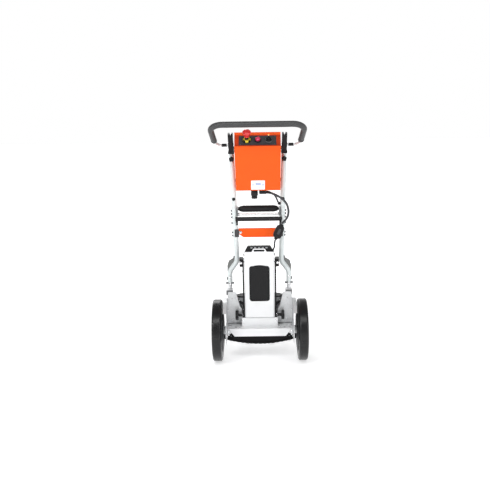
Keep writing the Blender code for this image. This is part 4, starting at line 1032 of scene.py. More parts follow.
def make_box_fasteners():
    """Screws of the panel and the rear cover, and the spacers against the uprights."""
    low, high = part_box("box_shell")
    for x in (-0.078, 0.078):
        for up in (-0.0275, 0.0335):
            socket_screw(f"panel_screw_{'l' if x < 0 else 'r'}_{'low' if up < 0 else 'top'}",
                         on_console(x, up, 0.0), NORMAL, 0.0024, 0.0015)
    for word, side in SIDES:
        for z in (0.856, 0.970, 1.084):
            spot = Vector((side * 0.094, -0.032 - math.tan(LEAN) * (z - low.z), z))
            socket_screw(f"cover_screw_{word}_{round(z * 1000)}", spot, -FRONT, 0.0036, 0.0024)
        for z in (0.880, 1.030):
            x = upright_x(z) - TUBE_RADIUS - 0.0002
            wall = 0.1020 + (z - low.z) * (high.x - 0.1020) / (high.z - low.z)
            reach = max(0.0008, x - wall + 0.0012)
            spacer = [(0, 0.0), (0.0075, 0.0), (0.0075, reach), (0, reach)]
            turned(f"box_spacer_{word}_{round(z * 1000)}", (side * (wall - 0.0006), upright_y(z), z),
                   (side, 0, 0), spacer, 32, "dark_steel")


def make_louvres():
    """Raised louvres of the rear cover."""
    base = Vector((0, -0.032 - math.tan(LEAN) * (0.960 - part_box("box_shell")[0].z), 0.960))

    def on_rear(a, b, d):
        return base + ACROSS * a + RISE * b - FRONT * d
    for order in range(7):
        z = 0.030 - 0.010 * order
        slot = rounded_outline((-0.045, z - 0.0018), (0.045, z + 0.0018), 0.0017)
        slab(f"rear_louvre_{order}", slot, on_rear, 0.0, 0.0013, (0.0006, 2), "orange_coat")


def make_stop():
    """Emergency stop: yellow marked ring, stem and faceted mushroom head."""
    x_stop = JOINTS["stop_twist"]["pos_m"][0]
    base = on_console(x_stop)
    ring = rounded_outline((-0.0195, -0.0195), (0.0195, 0.0195), 0.0195, 10)
    console_slab("stop_base_ring", ring, 0.0, 0.0009, "black_plastic", x_stop)
    collar = [(0.0090, 0.0014), (0.0176, 0.0014), (0.0178, 0.0024), (0.0170, 0.0090),
              (0.0164, 0.0102), (0.0140, 0.0106), (0.0090, 0.0106)]
    stand_for(lathe("stop_guard_ring", base, NORMAL, collar, 64), "stop_collar")
    for order in range(4):
        middle = math.radians(45 + 90 * order)
        wedge = []
        for radius, way in ((0.0182, 1), (0.0150, -1)):
            for k in range(9):
                a = middle + way * math.radians(-20 + 5 * k)
                wedge.append((radius * math.cos(a), radius * math.sin(a)))
        console_slab(f"stop_ring_mark_{order}", wedge, 0.0016, 0.0110, "black_plastic", x_stop)
    stem = [(0, 0.0052), (0.0074, 0.0052), (0.0080, 0.0060), (0.0080, 0.0150), (0.0072, 0.0160),
            (0.0072, 0.0176), (0.0080, 0.0186), (0.0080, 0.0240), (0, 0.0240)]
    stand_for(lathe("stop_stem", base, NORMAL, stem, 40), "stop_plunger", "black_plastic")
    head = [(0, 0.0243), (0.0118, 0.0243), (0.0125, 0.0252), (0.0130, 0.0365), (0.0138, 0.0382),
            (0.0172, 0.0406), (0.0192, 0.0426), (0.0199, 0.0448), (0.0200, 0.0468),
            (0.0194, 0.0492), (0.0178, 0.0514), (0.0150, 0.0530), (0.0138, 0.0532),
            (0.0130, 0.0527), (0.0112, 0.0542), (0.0070, 0.0554), (0, 0.0560)]

    def facets(angle, radius):
        return radius * (1 + 0.030 * abs(math.sin(6 * angle))) if 0.0124 < radius < 0.0140 else radius
    stand_for(lathe("stop_mushroom", base, NORMAL, head, 72, 34, facets), "stop_button")


def make_start():
    """Start button in its ring."""
    x_start = (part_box("start_button")[0].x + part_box("start_button")[1].x) / 2
    spot = on_console(x_start)
    bezel = [(0.0118, 0.0), (0.0150, 0.0), (0.0152, 0.0010), (0.0149, 0.0052), (0.0142, 0.0061),
             (0.0126, 0.0062), (0.0118, 0.0056)]
    stand_for(lathe("start_ring", spot, NORMAL, bezel, 64), "start_bezel")
    cap = [(0, 0.0042), (0.0112, 0.0042), (0.0114, 0.0050), (0.0114, 0.0118), (0.0110, 0.0133),
           (0.0098, 0.0148), (0.0075, 0.0159), (0.0040, 0.0166), (0, 0.0168)]
    stand_for(lathe("start_cap", spot, NORMAL, cap, 64), "start_button", "start_red")


def make_selector():
    """Rotary selector with a white pointer, its ring and three position dots."""
    x_turn = JOINTS["selector_turn"]["pos_m"][0]
    spot = on_console(x_turn)
    bezel = [(0.0140, 0.0), (0.0160, 0.0), (0.0161, 0.0012), (0.0155, 0.0034), (0.0148, 0.0040),
             (0.0140, 0.0040)]
    turned("selector_bezel", spot, NORMAL, bezel, 64, "dark_steel")
    refined("selector_knob", 0.0007, 3)
    line = rounded_outline((-0.0007, 0.0015), (0.0007, 0.0108), 0.0006)
    pointer = extruded("selector_pointer", line, lambda a, b, d: on_console(x_turn + a, b, d),
                       0.0188, 0.0193)
    wear(pointer, "white_sheet", "selector")
    for order, angle in enumerate((-45, 0, 45)):
        a = math.radians(angle)
        mark = on_console(x_turn + 0.0185 * math.sin(a), 0.0185 * math.cos(a), 0.0)
        dot = [(0, 0.0), (0.0008, 0.0), (0.0008, 0.0002), (0, 0.0002)]
        turned(f"selector_dot_{order}", mark, NORMAL, dot, 20, "white_sheet")


def make_lamp():
    """Small glowing lens above the selector."""
    spot = on_console(JOINTS["selector_turn"]["pos_m"][0], 0.0410, -0.0018)
    bezel = [(0.0034, 0.0), (0.0052, 0.0), (0.0052, 0.0014), (0.0046, 0.0020), (0.0034, 0.0020)]
    turned("lamp_bezel", spot, NORMAL, bezel, 40, "bright_steel")
    lens = [(0, 0.0), (0.0033, 0.0), (0.0033, 0.0022), (0.0026, 0.0032), (0.0014, 0.0037), (0, 0.0038)]
    turned("lamp_lens", spot, NORMAL, lens, 40, "red_plastic", material="lamp")


# ---------------------------------------------------------------- connectors and cords
MAIN_ROUTE = [
    (0.0120, -0.1010, 0.8278), (0.0240, -0.1010, 0.8278), (0.0395, -0.1010, 0.8272),
    (0.0520, -0.1015, 0.8248), (0.0680, -0.1025, 0.8190), (0.0850, -0.1030, 0.8112),
    (0.1040, -0.1025, 0.8000), (0.1210, -0.1005, 0.7850), (0.1335, -0.0960, 0.7660),
    (0.1395, -0.0900, 0.7430), (0.1400, -0.0850, 0.7260), (0.1375, -0.0780, 0.7110),
    (0.1315, -0.0710, 0.6970), (0.1235, -0.0650, 0.6865), (0.1165, -0.0615, 0.6790),
    (0.1122, -0.0600, 0.6732),
]
BRANCH_ROUTE = [
    (0.0120, -0.0865, 0.8278), (0.0240, -0.0865, 0.8278), (0.0395, -0.0865, 0.8270),
    (0.0550, -0.0860, 0.8235), (0.0680, -0.0835, 0.8170), (0.0775, -0.0780, 0.8080),
    (0.0835, -0.0695, 0.7980), (0.0880, -0.0585, 0.7870), (0.0930, -0.0450, 0.7750),
    (0.0998, -0.0320, 0.7655),
]
BATTERY_ROUTE = [
    (0.0785, -0.0600, 0.5970), (0.0755, -0.0590, 0.5860), (0.0740, -0.0540, 0.5720),
    (0.0742, -0.0440, 0.5600), (0.0735, -0.0310, 0.5530), (0.0710, -0.0190, 0.5460),
    (0.0680, -0.0120, 0.5370), (0.0655, -0.0110, 0.5300), (0.0652, -0.0110, 0.5243),
]
MAIN_DIAMETER = 0.0105
BRANCH_DIAMETER = 0.0080
RELIEF_START = 0.0275           # along the cable, at the gland's face
RELIEF_REACH = 0.0230
CONNECTOR_CENTRE = Vector((0.0950, -0.0600, 0.6340))
CONNECTOR_TILT = math.radians(24)


def smooth_route(points, steps=6):
    """A smooth curve through the route's points."""
    points = [Vector(p) for p in points]
    padded = [points[0] * 2 - points[1]] + points + [points[-1] * 2 - points[-2]]
    dense = []
    for p0, p1, p2, p3 in zip(padded, padded[1:], padded[2:], padded[3:]):
        for k in range(steps):
            t = k / steps
            dense.append(0.5 * (2 * p1 + (p2 - p0) * t + (2 * p0 - 5 * p1 + 4 * p2 - p3) * t * t
                                + (3 * p1 - p0 - 3 * p2 + p3) * t ** 3))
    return dense + [points[-1]]


def cord_tube(name, route, diameter, node):
    points = smooth_route(route)
    curve = bpy.data.curves.new(name, "CURVE")
    curve.dimensions = "3D"
    curve.bevel_depth = diameter / 2
    curve.bevel_resolution = 8
    curve.use_fill_caps = True
    spline = curve.splines.new("POLY")
    spline.points.add(len(points) - 1)
    for slot, point in zip(spline.points, points):
        slot.co = (*point, 1.0)
    spline.use_smooth = True
    obj = bpy.data.objects.new(name, curve)
    bpy.context.scene.collection.objects.link(obj)
    stand_for(obj, node)
    length = sum((b - a).length for a, b in zip(points, points[1:]))
    return obj, length


def make_cords():
    """Three cables: box to inline connector, connector to battery, and box to upright."""
    main, main_length = cord_tube("main_cord", MAIN_ROUTE, MAIN_DIAMETER, "main_cable")
    lead, lead_length = cord_tube("battery_cord", BATTERY_ROUTE, BRANCH_DIAMETER, "battery_lead")
    branch, branch_length = cord_tube("branch_cord", BRANCH_ROUTE, BRANCH_DIAMETER, "branch_cable")
    connector = refined("inline_connector", 0.0009, 3, 30)


def connector_point(a, b, h):
    """A point in the inline connector's own frame: across, front to back, along."""
    return CONNECTOR_CENTRE + Matrix.Rotation(CONNECTOR_TILT, 3, "Y") @ Vector((a, b, h))


def make_box_socket():
    """Screwed socket under the control box."""
    low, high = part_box("box_connector")
    spot = Vector(((low.x + high.x) / 2, (low.y + high.y) / 2, high.z + 0.0003))
    body = [(0, 0.0003), (0.0165, 0.0003), (0.0165, 0.0034), (0.0150, 0.0044), (0.0150, 0.0064),
            (0.0163, 0.0072), (0.0163, 0.0248), (0.0155, 0.0260), (0.0126, 0.0268),
            (0.0126, 0.0290), (0.0140, 0.0298), (0.0140, 0.0385), (0.0128, 0.0402), (0, 0.0405)]

    def grips(angle, radius):
        if 0.0158 < radius < 0.0164:
            return radius * (1 - 0.030 * max(0.0, math.cos(18 * angle)))
        return radius
    stand_for(lathe("box_socket", spot, -UP, body, 144, 34, grips), "box_connector")


def make_reliefs():
    """Cable gland, and a strain relief on each cable where it leaves its housing."""
    refined("cable_gland", 0.0008, 3)
    for word, route, diameter in (("main", MAIN_ROUTE, MAIN_DIAMETER),
                                  ("branch", BRANCH_ROUTE, BRANCH_DIAMETER)):
        path = smooth_route(route)
        walked, line = 0.0, []
        for a, b in zip(path, path[1:]):
            walked += (b - a).length
            if RELIEF_START < walked < RELIEF_START + RELIEF_REACH:
                line.append(b)
        relief(f"strain_relief_{word}", line, diameter)
    path = smooth_route(BATTERY_ROUTE)
    walked, line = 0.0, [path[-1]]
    for a, b in zip(reversed(path), list(reversed(path))[1:]):
        walked += (b - a).length
        line.append(b)
        if walked > 0.020:
            break
    relief("strain_relief_battery", line, BRANCH_DIAMETER)


def make_inline_details():
    """Grip ribs and latch of the inline connector, and the grommet of the branch cable."""
    for order in range(4):
        h = -0.0200 + 0.0030 * order
        ring = rounded_outline((-0.0212, -0.0136), (0.0212, 0.0136), 0.0100, 8)
        slab(f"connector_rib_{order}", ring, connector_point, h - 0.0006, h + 0.0006, (0.0003, 2),
             "black_plastic")
    latch = rounded_outline((-0.0060, -0.0120), (0.0060, 0.0160), 0.0030)
    slab("connector_latch", latch, lambda a, b, d: connector_point(a, d, b), -0.0158, -0.0128,
         (0.0006, 2), "dark_steel", material="saddle_grey")

    spot = Vector(BRANCH_ROUTE[-1])
    away = (Vector(BRANCH_ROUTE[-1]) - Vector(BRANCH_ROUTE[-2])).normalized()
    grommet = [(0.0041, -0.0060), (0.0066, -0.0055), (0.0078, -0.0040), (0.0078, -0.0022),
               (0.0066, -0.0012), (0.0066, 0.0022), (0.0041, 0.0024)]
    turned("upright_grommet", spot, away, grommet, 36, "black_plastic")


def relief(name, line, diameter):
    """Tapered, ringed sleeve that stops a cable from bending sharply where it leaves."""
    line = resampled(line, 0.0012)
    radius = diameter / 2

    def taper(share):
        ring = 1.0 if int(share * 14) % 2 == 0 else 0.93
        return (1 + 0.42 * (1 - share)) * ring
    wear(tube_along(name, line, radius * 1.04, 28, flare=taper), "black_plastic", "chassis")


# ---------------------------------------------------------------- battery and its cover
def plain(a, b, d):
    """Outline in X and Z, depth along Y."""
    return Vector((a, d, b))


def flat(a, b, d):
    """Outline in X and Y, depth along Z."""
    return Vector((a, b, d))


def make_battery():
    """Battery case with front ribs, side latches and its ribbed carry handle."""
    refined("battery_case", 0.0009, 3, framed=True)
    refined("battery_lid", 0.0022, 4, 28)
    case_low, case_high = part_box("battery_case")
    arm_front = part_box("battery_frame")[0].y
    ribs = 15
    for order in range(ribs):
        x = -0.0490 + 0.0980 * order / (ribs - 1)
        outline = rounded_outline((x - 0.0017, 0.290), (x + 0.0017, 0.476), 0.0016, 4)
        slab(f"case_rib_{order:02d}", outline, plain, case_low.y - 0.0016, case_low.y + 0.0004,
             (0.0007, 2), "black_plastic")
    lid_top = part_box("battery_lid")[1].z
    for order in range(5):
        x = -0.0360 + 0.0180 * order
        outline = rounded_outline((x - 0.0052, lid_top - 0.0106), (x + 0.0052, lid_top - 0.0040),
                                  0.0022, 5)
        slab(f"handle_stud_{order}", outline, plain, -0.0484, -0.0466, (0.0006, 2), "grey_housing",
             material="stud_grey")
        ridge = rounded_outline((x - 0.0026, -0.0455), (x + 0.0026, -0.0205), 0.0024, 5)
        slab(f"handle_ridge_{order}", ridge, flat, lid_top - 0.0006, lid_top + 0.0009, (0.0005, 2),
             "black_plastic")
    for order in range(3):
        z = 0.5270 + 0.0070 * order
        reach = 0.0600 - 0.0035 * order
        rail = rounded_outline((-reach, z), (reach, z + 0.0032), 0.0015, 4)
        slab(f"handle_rib_{order}", rail, plain, -0.0484, -0.0466, (0.0006, 2), "black_plastic")
    for word, side in SIDES:
        x = side * (case_high.x - 0.0004)
        for order, z in enumerate((0.300, 0.410)):
            outline = rounded_outline((-0.0450, z), (-0.0180, z + 0.070), 0.006)
            slab(f"case_side_pad_{word}_{order}", outline, lambda a, b, d: Vector((x + side * d, a, b)),
                 0.0, 0.0014, (0.0006, 2), "black_plastic")
        for order, z in enumerate((0.318, 0.366, 0.414, 0.462)):
            screw_spot = Vector((side * 0.0568, -0.0062, z))
            socket_screw(f"case_screw_{word}_{order}", screw_spot, (0, 1, 0), 0.0030, 0.0020)

    refined("battery_frame", 0.0006, 2, framed=True)
    for word, side in SIDES:
        hex_bolt(f"arm_bolt_{word}", (side * 0.0878, arm_front, 0.4830), (0, -1, 0), 0.0070, 0.0036)
        for order, z in enumerate((0.250, 0.440)):
            socket_screw(f"rail_screw_{word}_{order}", (side * 0.0812, -0.040, z), (side, 0, 0),
                         0.0032, 0.0022, "bright_steel")


def bent_channel(half, front, back, radius, wall, steps=10):
    """Plan of a sheet folded round its two front corners, as one closed outline."""
    outer = [(-half, back)]
    outer += arc((-half + radius, front + radius), radius, 180, 270, steps)
    outer += arc((half - radius, front + radius), radius, 270, 360, steps)
    outer += [(half, back)]
    r = radius - wall
    inner = [(half - wall, back)]
    inner += reversed(arc((half - radius, front + radius), r, 270, 360, steps))
    inner += reversed(arc((-half + radius, front + radius), r, 180, 270, steps))
    inner += [(-half + wall, back)]
    return outer + inner


def boolean(target, tool, operation):
    """Apply a cut or a union and remove the tool."""
    modifier = target.modifiers.new("shape", "BOOLEAN")
    modifier.operation = operation
    modifier.solver = "EXACT"
    modifier.object = tool
    graph = bpy.context.evaluated_depsgraph_get()
    mesh = bpy.data.meshes.new_from_object(target.evaluated_get(graph))
    target.modifiers.clear()
    target.data = mesh
    bpy.data.objects.remove(tool)


COVER_WALL = 0.0015
COVER_BEND = 0.0095
FLANGE_TOP = 0.508              # top of the cover's folded sides
PLATE_TOP = 0.538               # shoulders of its front sheet, under the hand tab
WINDOW_HALF, WINDOW_LOW, WINDOW_HIGH = 0.0480, 0.297, 0.4685
WINDOW_CORNER = 0.0125
WINDOW_RISE = 0.0040            # of the arch over the window


def tab_outline(half, top):
    """The cover's front sheet above its folded sides, narrowing to the hand tab."""
    inset = half - COVER_BEND * 0.35
    tab = [(-inset, FLANGE_TOP - 0.006), (inset, FLANGE_TOP - 0.006)]
    tab += arc((half - 0.006, PLATE_TOP - 0.006), 0.006, 0, 90, 5)
    tab += [(0.0400, PLATE_TOP)]
    tab += arc((0.0400, PLATE_TOP + 0.007), 0.007, 270, 205, 5)
    tab += arc((0.0230, top - 0.008), 0.008, 25, 90, 5)
    return tab + [(-x, y) for x, y in reversed(tab[2:])]


def window_outline():
    """Round-cornered window with an arched top."""
    side, corner = WINDOW_HALF - WINDOW_CORNER, WINDOW_CORNER
    outline = arc((side, WINDOW_HIGH - corner), corner, 0, 76, 7)
    for k in range(9):
        share = 1 - 2 * k / 8
        outline.append((WINDOW_HALF * 0.62 * share, WINDOW_HIGH + WINDOW_RISE * (1 - share ** 2)))
    outline += [(-x, y) for x, y in reversed(outline[:8])]
    outline += arc((-side, WINDOW_LOW + corner), corner, 180, 270, 7)
    return outline + arc((side, WINDOW_LOW + corner), corner, 270, 360, 7)


def make_cover():
    """Folded pale sheet with round bends, an arched window with a rolled edge and a hand tab."""
    low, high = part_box("battery_cover")
    front, back, half = low.y, high.y, high.x
    cover = extruded("cover_sheet", bent_channel(half, front, back, COVER_BEND, COVER_WALL), flat,
                     low.z, FLANGE_TOP)
    boolean(cover, extruded("tab_sheet", tab_outline(half, high.z), plain, front,
                            front + COVER_WALL), "UNION")
    outline = window_outline()
    boolean(cover, extruded("window_tool", outline, plain, front - 0.01, front + 0.006), "DIFFERENCE")
    slot = rounded_outline((-0.0260, 0.5395), (0.0260, 0.5490), 0.0045, 5)
    boolean(cover, extruded("slot_tool", slot, plain, front - 0.01, front + 0.006), "DIFFERENCE")
    bm = bmesh.new()
    bm.from_mesh(cover.data)
    bmesh.ops.remove_doubles(bm, verts=bm.verts, dist=0.00001)
    bmesh.ops.dissolve_limit(bm, angle_limit=math.radians(1), verts=bm.verts, edges=bm.edges)
    bm.to_mesh(cover.data)
    bm.free()
    cover.data.shade_smooth()
    cover.data.set_sharp_from_angle(angle=math.radians(30))
    stand_for(bevel(cover, 0.0003, 2), "battery_cover")

    trim = [Vector((a, front - 0.0001, b)) for a, b in outline]
    wear(closed_cord("window_trim", trim, 0.0011, 10), "black_plastic", "chassis")
    for word, side in SIDES:
        for order, z in enumerate((0.240, 0.486)):
            socket_screw(f"cover_screw_{'l' if side < 0 else 'r'}_{order}_side", (side * half, -0.0400, z),
                         (side, 0, 0), 0.0028, 0.0016, "bright_steel")
    for word, side in SIDES:
        make_t_knob(word, side)


def closed_cord(name, points, radius, sides):
    """A thin round moulding along a closed line in the X-Z plane."""
    bm = bmesh.new()
    count = len(points)
    rings = []
    for k, point in enumerate(points):
        ahead, behind = points[(k + 1) % count], points[k - 1]
        tangent = (ahead - behind).normalized()
        out = Vector((0, -1, 0))
        side = tangent.cross(out).normalized()
        rings.append(circle(bm, point, out, side, radius, sides))
    for a, b in zip(rings, rings[1:] + rings[:1]):
        join_rings(bm, a, b)
    return add_piece(name, bm, 40)


def make_t_knob(word, side):
    """Seven-lobed hand knob with its hub and stud, and its washer."""
    centre = Vector(JOINTS[f"cover_knob_{word}_turn"]["pos_m"])
    profile = [(0, -0.0292), (0.0060, -0.0292), (0.0068, -0.0284), (0.0070, -0.0060),
               (0.0100, -0.0050), (0.0130, -0.0046), (0.0190, -0.0062), (0.0222, -0.0068),
               (0.0236, -0.0052), (0.0240, -0.0030), (0.0240, 0.0036), (0.0232, 0.0060),
               (0.0212, 0.0077), (0.0150, 0.0079), (0.0138, 0.0070), (0.0060, 0.0070),
               (0.0050, 0.0078), (0, 0.0080)]

    def lobes(angle, radius):
        if radius > 0.0185:
            return radius * (1 - 0.075 * (0.5 + 0.5 * math.cos(7 * angle)) ** 2)
        return radius
    stand_for(lathe(f"cover_hand_knob_{word}", centre, (side, 0, 0), profile, 84, 38, lobes),
              f"cover_knob_{word}")
    washer = [(0.0072, -0.0288), (0.0110, -0.0288), (0.0112, -0.0276), (0.0072, -0.0276)]
    turned(f"hand_knob_washer_{word}", centre, (side, 0, 0), washer, 36, "bright_steel", f"knob_{word}")


# ---------------------------------------------------------------- chassis
AXLE_Y, AXLE_Z = -0.050, 0.150
WING_FACE = -0.0100             # operator's side of the wings
LIP_LOW = 0.132


TRAY_TOP = 0.1695
LIP_X = 0.1520                  # middle of the tabs beside the lip


def make_chassis():
    """Tray with its hemmed lip, axle, and the plates and sockets of both sides."""
    refined("tray", 0.0010, 2, 26)
    refined("axle", 0.0006)
    for word, side in SIDES:
        make_side(word, side)
        make_side_fittings(word, side)
    tray_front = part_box("tray")[0].y
    hem = [(-0.1205, LIP_LOW + 0.0004), (0.1205, LIP_LOW + 0.0004), (0.1190, LIP_LOW + 0.0044),
           (-0.1190, LIP_LOW + 0.0044)]
    slab("lip_hem", hem, plain, tray_front + 0.0022, tray_front + 0.0044, (0.0008, 3), "white_sheet")
    for word, side in SIDES:
        hex_bolt(f"panel_bolt_{word}", (side * 0.0795, -0.0560, 0.1960), (0, -1, 0), 0.0060, 0.0032)


def make_side(word, side):
    """One side plate with its swaged wing and screws, and the frame socket."""
    refined(f"side_plate_{word}", 0.0006, 2, 24)
    socket = refined(f"frame_socket_{word}", 0.0008, 2, 30)
    socket.data.materials.append(MATERIALS["dark_steel"])
    for face in socket.data.polygons:
        off_axis = (Vector((side * SOCKET_X, SOCKET_Y)) - face.center.xy).length
        if off_axis > 0.0104 and face.center.z > 0.2:
            face.material_index = 1
    raised = [(side * x, z) for x, z in ((0.1225, 0.3200), (0.1490, 0.3200), (0.1515, 0.3130),
                                         (0.1515, 0.1840), (0.0950, 0.1840), (0.0950, 0.2400),
                                         (0.1035, 0.2560))]
    slab(f"wing_swage_{word}", raised, plain, WING_FACE - 0.0009, WING_FACE + 0.0004, (0.0008, 3, 50),
         "galvanised")
    for order, z in enumerate((0.192, 0.300)):
        socket_screw(f"wing_screw_{word}_{order}", (side * 0.1360, WING_FACE - 0.0009, z),
                     (0, -1, 0), 0.0034, 0.0024, "bright_steel")
    for order, (y, z) in enumerate(((-0.150, 0.150), (0.060, 0.150), (-0.050, 0.250))):
        hex_bolt(f"plate_side_bolt_{word}_{order}", (side * 0.1580, y, z), (-side, 0, 0),
                 0.0080, 0.0040)
    boss = [(0.0102, 0), (0.0148, 0), (0.0150, 0.0010), (0.0146, 0.0022), (0.0102, 0.0022)]
    turned(f"bearing_ring_{word}", (side * 0.1418, AXLE_Y, AXLE_Z), (-side, 0, 0), boss, 48,
           "bright_steel")
    hex_bolt(f"axle_nut_{word}", (side * 0.1392, AXLE_Y, AXLE_Z), (-side, 0, 0),
             0.0230, 0.0030, False)


def make_side_fittings(word, side):
    """Bolts of the socket, the tab beside the lip and the tray's bolts on one side."""
    spot = Vector((side * SOCKET_X, SOCKET_Y - TUBE_RADIUS, 0.4000))
    hex_bolt(f"socket_bolt_{word}", spot, (0, -1, 0), 0.0072, 0.0040)
    make_plug(f"socket_plug_{word}", (side * (SOCKET_X + 0.0123), SOCKET_Y, 0.3900), (side, 0, 0))
    eye = [(0.0030, 0), (0.0062, 0), (0.0064, 0.0008), (0.0062, 0.0042), (0.0030, 0.0042)]
    turned(f"collar_stud_{word}", (side * SOCKET_X, SOCKET_Y - 0.0136, 0.3672), (0, -1, 0), eye, 28,
           "bright_steel")
    tab_x = side * LIP_X
    foot_strip = rounded_outline((tab_x - 0.0042, 0.1345), (tab_x + 0.0042, 0.1660), 0.0020)
    slab(f"lip_tab_{word}", foot_strip, plain, -0.0960, -0.0940, (0.0005,), "galvanised")
    hex_bolt(f"lip_bolt_{word}", (tab_x, -0.0960, 0.1560), (0, -1, 0), 0.0066, 0.0034)
    for order, x in enumerate((0.0975, 0.1180)):
        hex_bolt(f"tray_bolt_{word}_{order}", (side * x, -0.0780, TRAY_TOP), UP, 0.0068, 0.0034)


# ---------------------------------------------------------------- drive, foot, load side
def make_drive():
    """Ribbed gearbox housing with its lid, cradle straps, guard tube, motor and gears."""
    refined("drive_housing", 0.0010, 2, 30)
    refined("housing_lid", 0.0012, 3, 30)
    refined("nut_gear", 0.0002)
    refined("motor_pinion", 0.0002)
    refined("drive_motor", 0.0008, 2, 30)
    refined("lead_screw", 0.0004)
    guard_low, guard_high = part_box("screw_guard")
    z0, z1 = guard_low.z, guard_high.z
    profile = [(0.0096, z0), (0.0168, z0), (0.0170, z0 + 0.0008), (0.0170, z0 + 0.0044),
               (0.0160, z0 + 0.0052), (0.0130, z0 + 0.0056), (0.0125, z0 + 0.0070)]
    rings = 8
    for k in range(rings):
        z = z0 + 0.020 + k * (z1 - z0 - 0.040) / (rings - 1)
        profile += [(0.0125, z - 0.0016), (0.0119, z - 0.0009), (0.0119, z + 0.0009), (0.0125, z + 0.0016)]
    profile += [(0.0125, z1 - 0.0050), (0.0118, z1 - 0.0018), (0.0095, z1 - 0.0004), (0, z1)]
    profile += [(0, z1 - 0.005), (0.0096, z1 - 0.005)]
    guard = lathe("guard_tube", (0, SOCKET_Y, 0), UP, profile, 48)
    stand_for(guard, "screw_guard")
    low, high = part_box("drive_housing")
    for word, side in SIDES:
        strap = [(side * 0.1062, 0.2890), (side * 0.1062, 0.2800), (side * 0.0840, 0.2590),
                 (side * 0.0840, 0.1900), (side * 0.0765, 0.1760), (side * 0.0700, 0.1760),
                 (side * 0.0700, 0.2700)]
        slab(f"housing_cradle_{word}", strap, plain, low.y - 0.0032, low.y - 0.0008, (0.0007, 2),
             "black_plastic")
        band = [(side * 0.1085, 0.2960), (side * 0.1085, 0.2900), (side * 0.0700, 0.2560),
                (side * 0.0700, 0.2625)]
        slab(f"housing_strap_{word}", band, plain, low.y - 0.0046, low.y - 0.0030, (0.0006, 2),
             "black_plastic")
        for order, (x, z) in enumerate(((0.0995, 0.2870), (0.0790, 0.2000))):
            seat = low.y - (0.0040 if order == 0 else 0.0032)
            socket_screw(f"cradle_screw_{word}_{order}", (side * x, seat, z),
                         (0, -1, 0), 0.0028, 0.0018, "bright_steel")
        for order, y in enumerate((0.008, 0.054)):
            socket_screw(f"lid_screw_{word}_{order}", (side * 0.094, y, high.z + 0.0070), UP, 0.0030, 0.0020)
    for order in range(9):
        x = -0.080 + 0.020 * order
        fin = [(0.0615, 0.190), (0.0640, 0.196), (0.0645, 0.286), (0.0615, 0.292)]
        slab(f"housing_fin_{order}", fin,
             lambda a, b, d: Vector((x * (0.72 + 0.28 * (b - 0.19) / 0.1) + d, a, b)), -0.0012, 0.0012,
             (0.0005, 2), "grey_housing")


SOLE_HALF = 0.1785
SOLE_RISE = 0.027


def make_foot():
    """Climbing foot with a grooved rubber sole and screws in its ends."""
    refined("climbing_foot", 0.0012, 3, 24)
    refined("foot_sole", 0.0008, 2, 20)
    sole_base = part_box("foot_sole")[0].z
    for order in range(15):
        x = -0.154 + 0.022 * order
        z = sole_base + SOLE_RISE * (x / SOLE_HALF) ** 2
        slope = math.atan(2 * SOLE_RISE * x / SOLE_HALF ** 2)
        pad = rounded_outline((-0.0062, 0.0025), (0.0062, 0.0555), 0.0022, 4)

        def tread(a, b, d):
            return Vector((x + a * math.cos(slope) + d * math.sin(slope), b,
                           z + a * math.sin(slope) - d * math.cos(slope)))
        slab(f"sole_cleat_{order:02d}", pad, tread, -0.0008, 0.0016, (0.0006, 2), "sole_rubber", "foot")
    foot_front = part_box("climbing_foot")[0].y
    for word, side in SIDES:
        for order, z in enumerate((0.100, 0.120)):
            x = side * (0.1450 if order == 0 else 0.1380)
            socket_screw(f"foot_screw_{word}_{order}", (x, foot_front, z), (0, -1, 0), 0.0036, 0.0024)
        wiper = [(0.0082, 0), (0.0118, 0), (0.0120, 0.0010), (0.0112, 0.0032), (0.0090, 0.0040),
                 (0.0082, 0.0040)]
        turned(f"rod_wiper_{word}", (side * SOCKET_X, SOCKET_Y, 0.1292), UP, wiper, 40, "black_plastic",
               "foot")


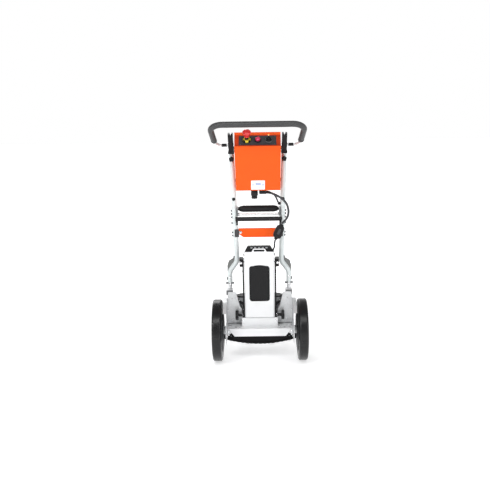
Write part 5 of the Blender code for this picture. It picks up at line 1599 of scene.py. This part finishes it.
def make_load_side():
    """Back panel with folded edges and rub strips, toe plate and its rubber feet."""
    refined("load_panel", 0.0010, 2)
    refined("toe_plate", 0.0014, 3)
    low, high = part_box("load_panel")

    def on_panel(a, b, d):
        """x, height up the panel, distance in front of it."""
        y = high.y - math.tan(LEAN) * (b - low.z)
        return Vector((a, y, b)) + Vector((0, math.cos(LEAN), math.sin(LEAN))) * d
    for order, x in enumerate((-0.110, -0.055, 0.0, 0.055, 0.110)):
        outline = rounded_outline((x - 0.0085, 0.062), (x + 0.0085, 0.288), 0.0080, 8)
        slab(f"rub_strip_{order}", outline, on_panel, -0.0004, 0.0026, (0.0009, 3), "black_plastic")
    for word, side in SIDES:
        for order, z in enumerate((0.060, 0.168, 0.284)):
            hex_bolt(f"panel_edge_bolt_{word}_{order}", on_panel(side * 0.144, z, 0.0),
                     (0, math.cos(LEAN), math.sin(LEAN)), 0.0080, 0.0038)
        foot_low, foot_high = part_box(f"support_foot_{word}")
        centre = (foot_low + foot_high) / 2
        centre.z = 0.0
        socket_screw(f"toe_foot_screw_{word}", centre + Vector((0, 0, 0.0400)), UP, 0.0046, 0.0020,
                     "bright_steel")
        profile = [(0, 0.0), (0.0150, 0.0), (0.0158, 0.0006), (0.0170, 0.0006), (0.0184, 0.0012),
                   (0.0190, 0.0030), (0.0176, 0.0060), (0.0158, 0.0120), (0.0146, 0.0200),
                   (0.0141, 0.0300), (0.0141, 0.0340), (0.0134, 0.0355), (0, 0.0356)]
        stand_for(lathe(f"rubber_foot_{word}", centre, UP, profile, 56), f"support_foot_{word}")
    for order in range(5):
        y = 0.140 + 0.012 * order if order < 3 else 0.184 + 0.012 * order
        outline = rounded_outline((-0.098, y - 0.0022), (0.098, y + 0.0022), 0.0021, 5)
        slab(f"toe_rib_{order}", outline, flat, 0.0399, 0.0407, (0.0004, 2), "galvanised")


def dress_rest():
    """Every frame node still shown gets its slot's material."""
    hidden = {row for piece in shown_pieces() for row in (piece.get("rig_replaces") or [])}
    for node, obj in frame["nodes"].items():
        if node not in hidden:
            obj.data.materials.clear()
            obj.data.materials.append(MATERIALS[SLOT_OF[node]])


MATERIALS = {}                  # filled once by main(), by slot name or by look


def main():
    make_camera()
    make_studio()
    MATERIALS.update(make_materials())
    make_cords()
    make_uprights()
    make_handle()
    make_sleeves()
    make_wheels()
    make_roller()
    make_tie_rod()
    make_cross_bar()
    make_cross_plate()
    make_control_box()
    make_label()
    make_box_fasteners()
    make_louvres()
    make_stop()
    make_start()
    make_selector()
    make_lamp()
    make_box_socket()
    make_reliefs()
    make_inline_details()
    make_battery()
    make_cover()
    make_chassis()
    make_drive()
    make_foot()
    make_load_side()
    dress_rest()


main()
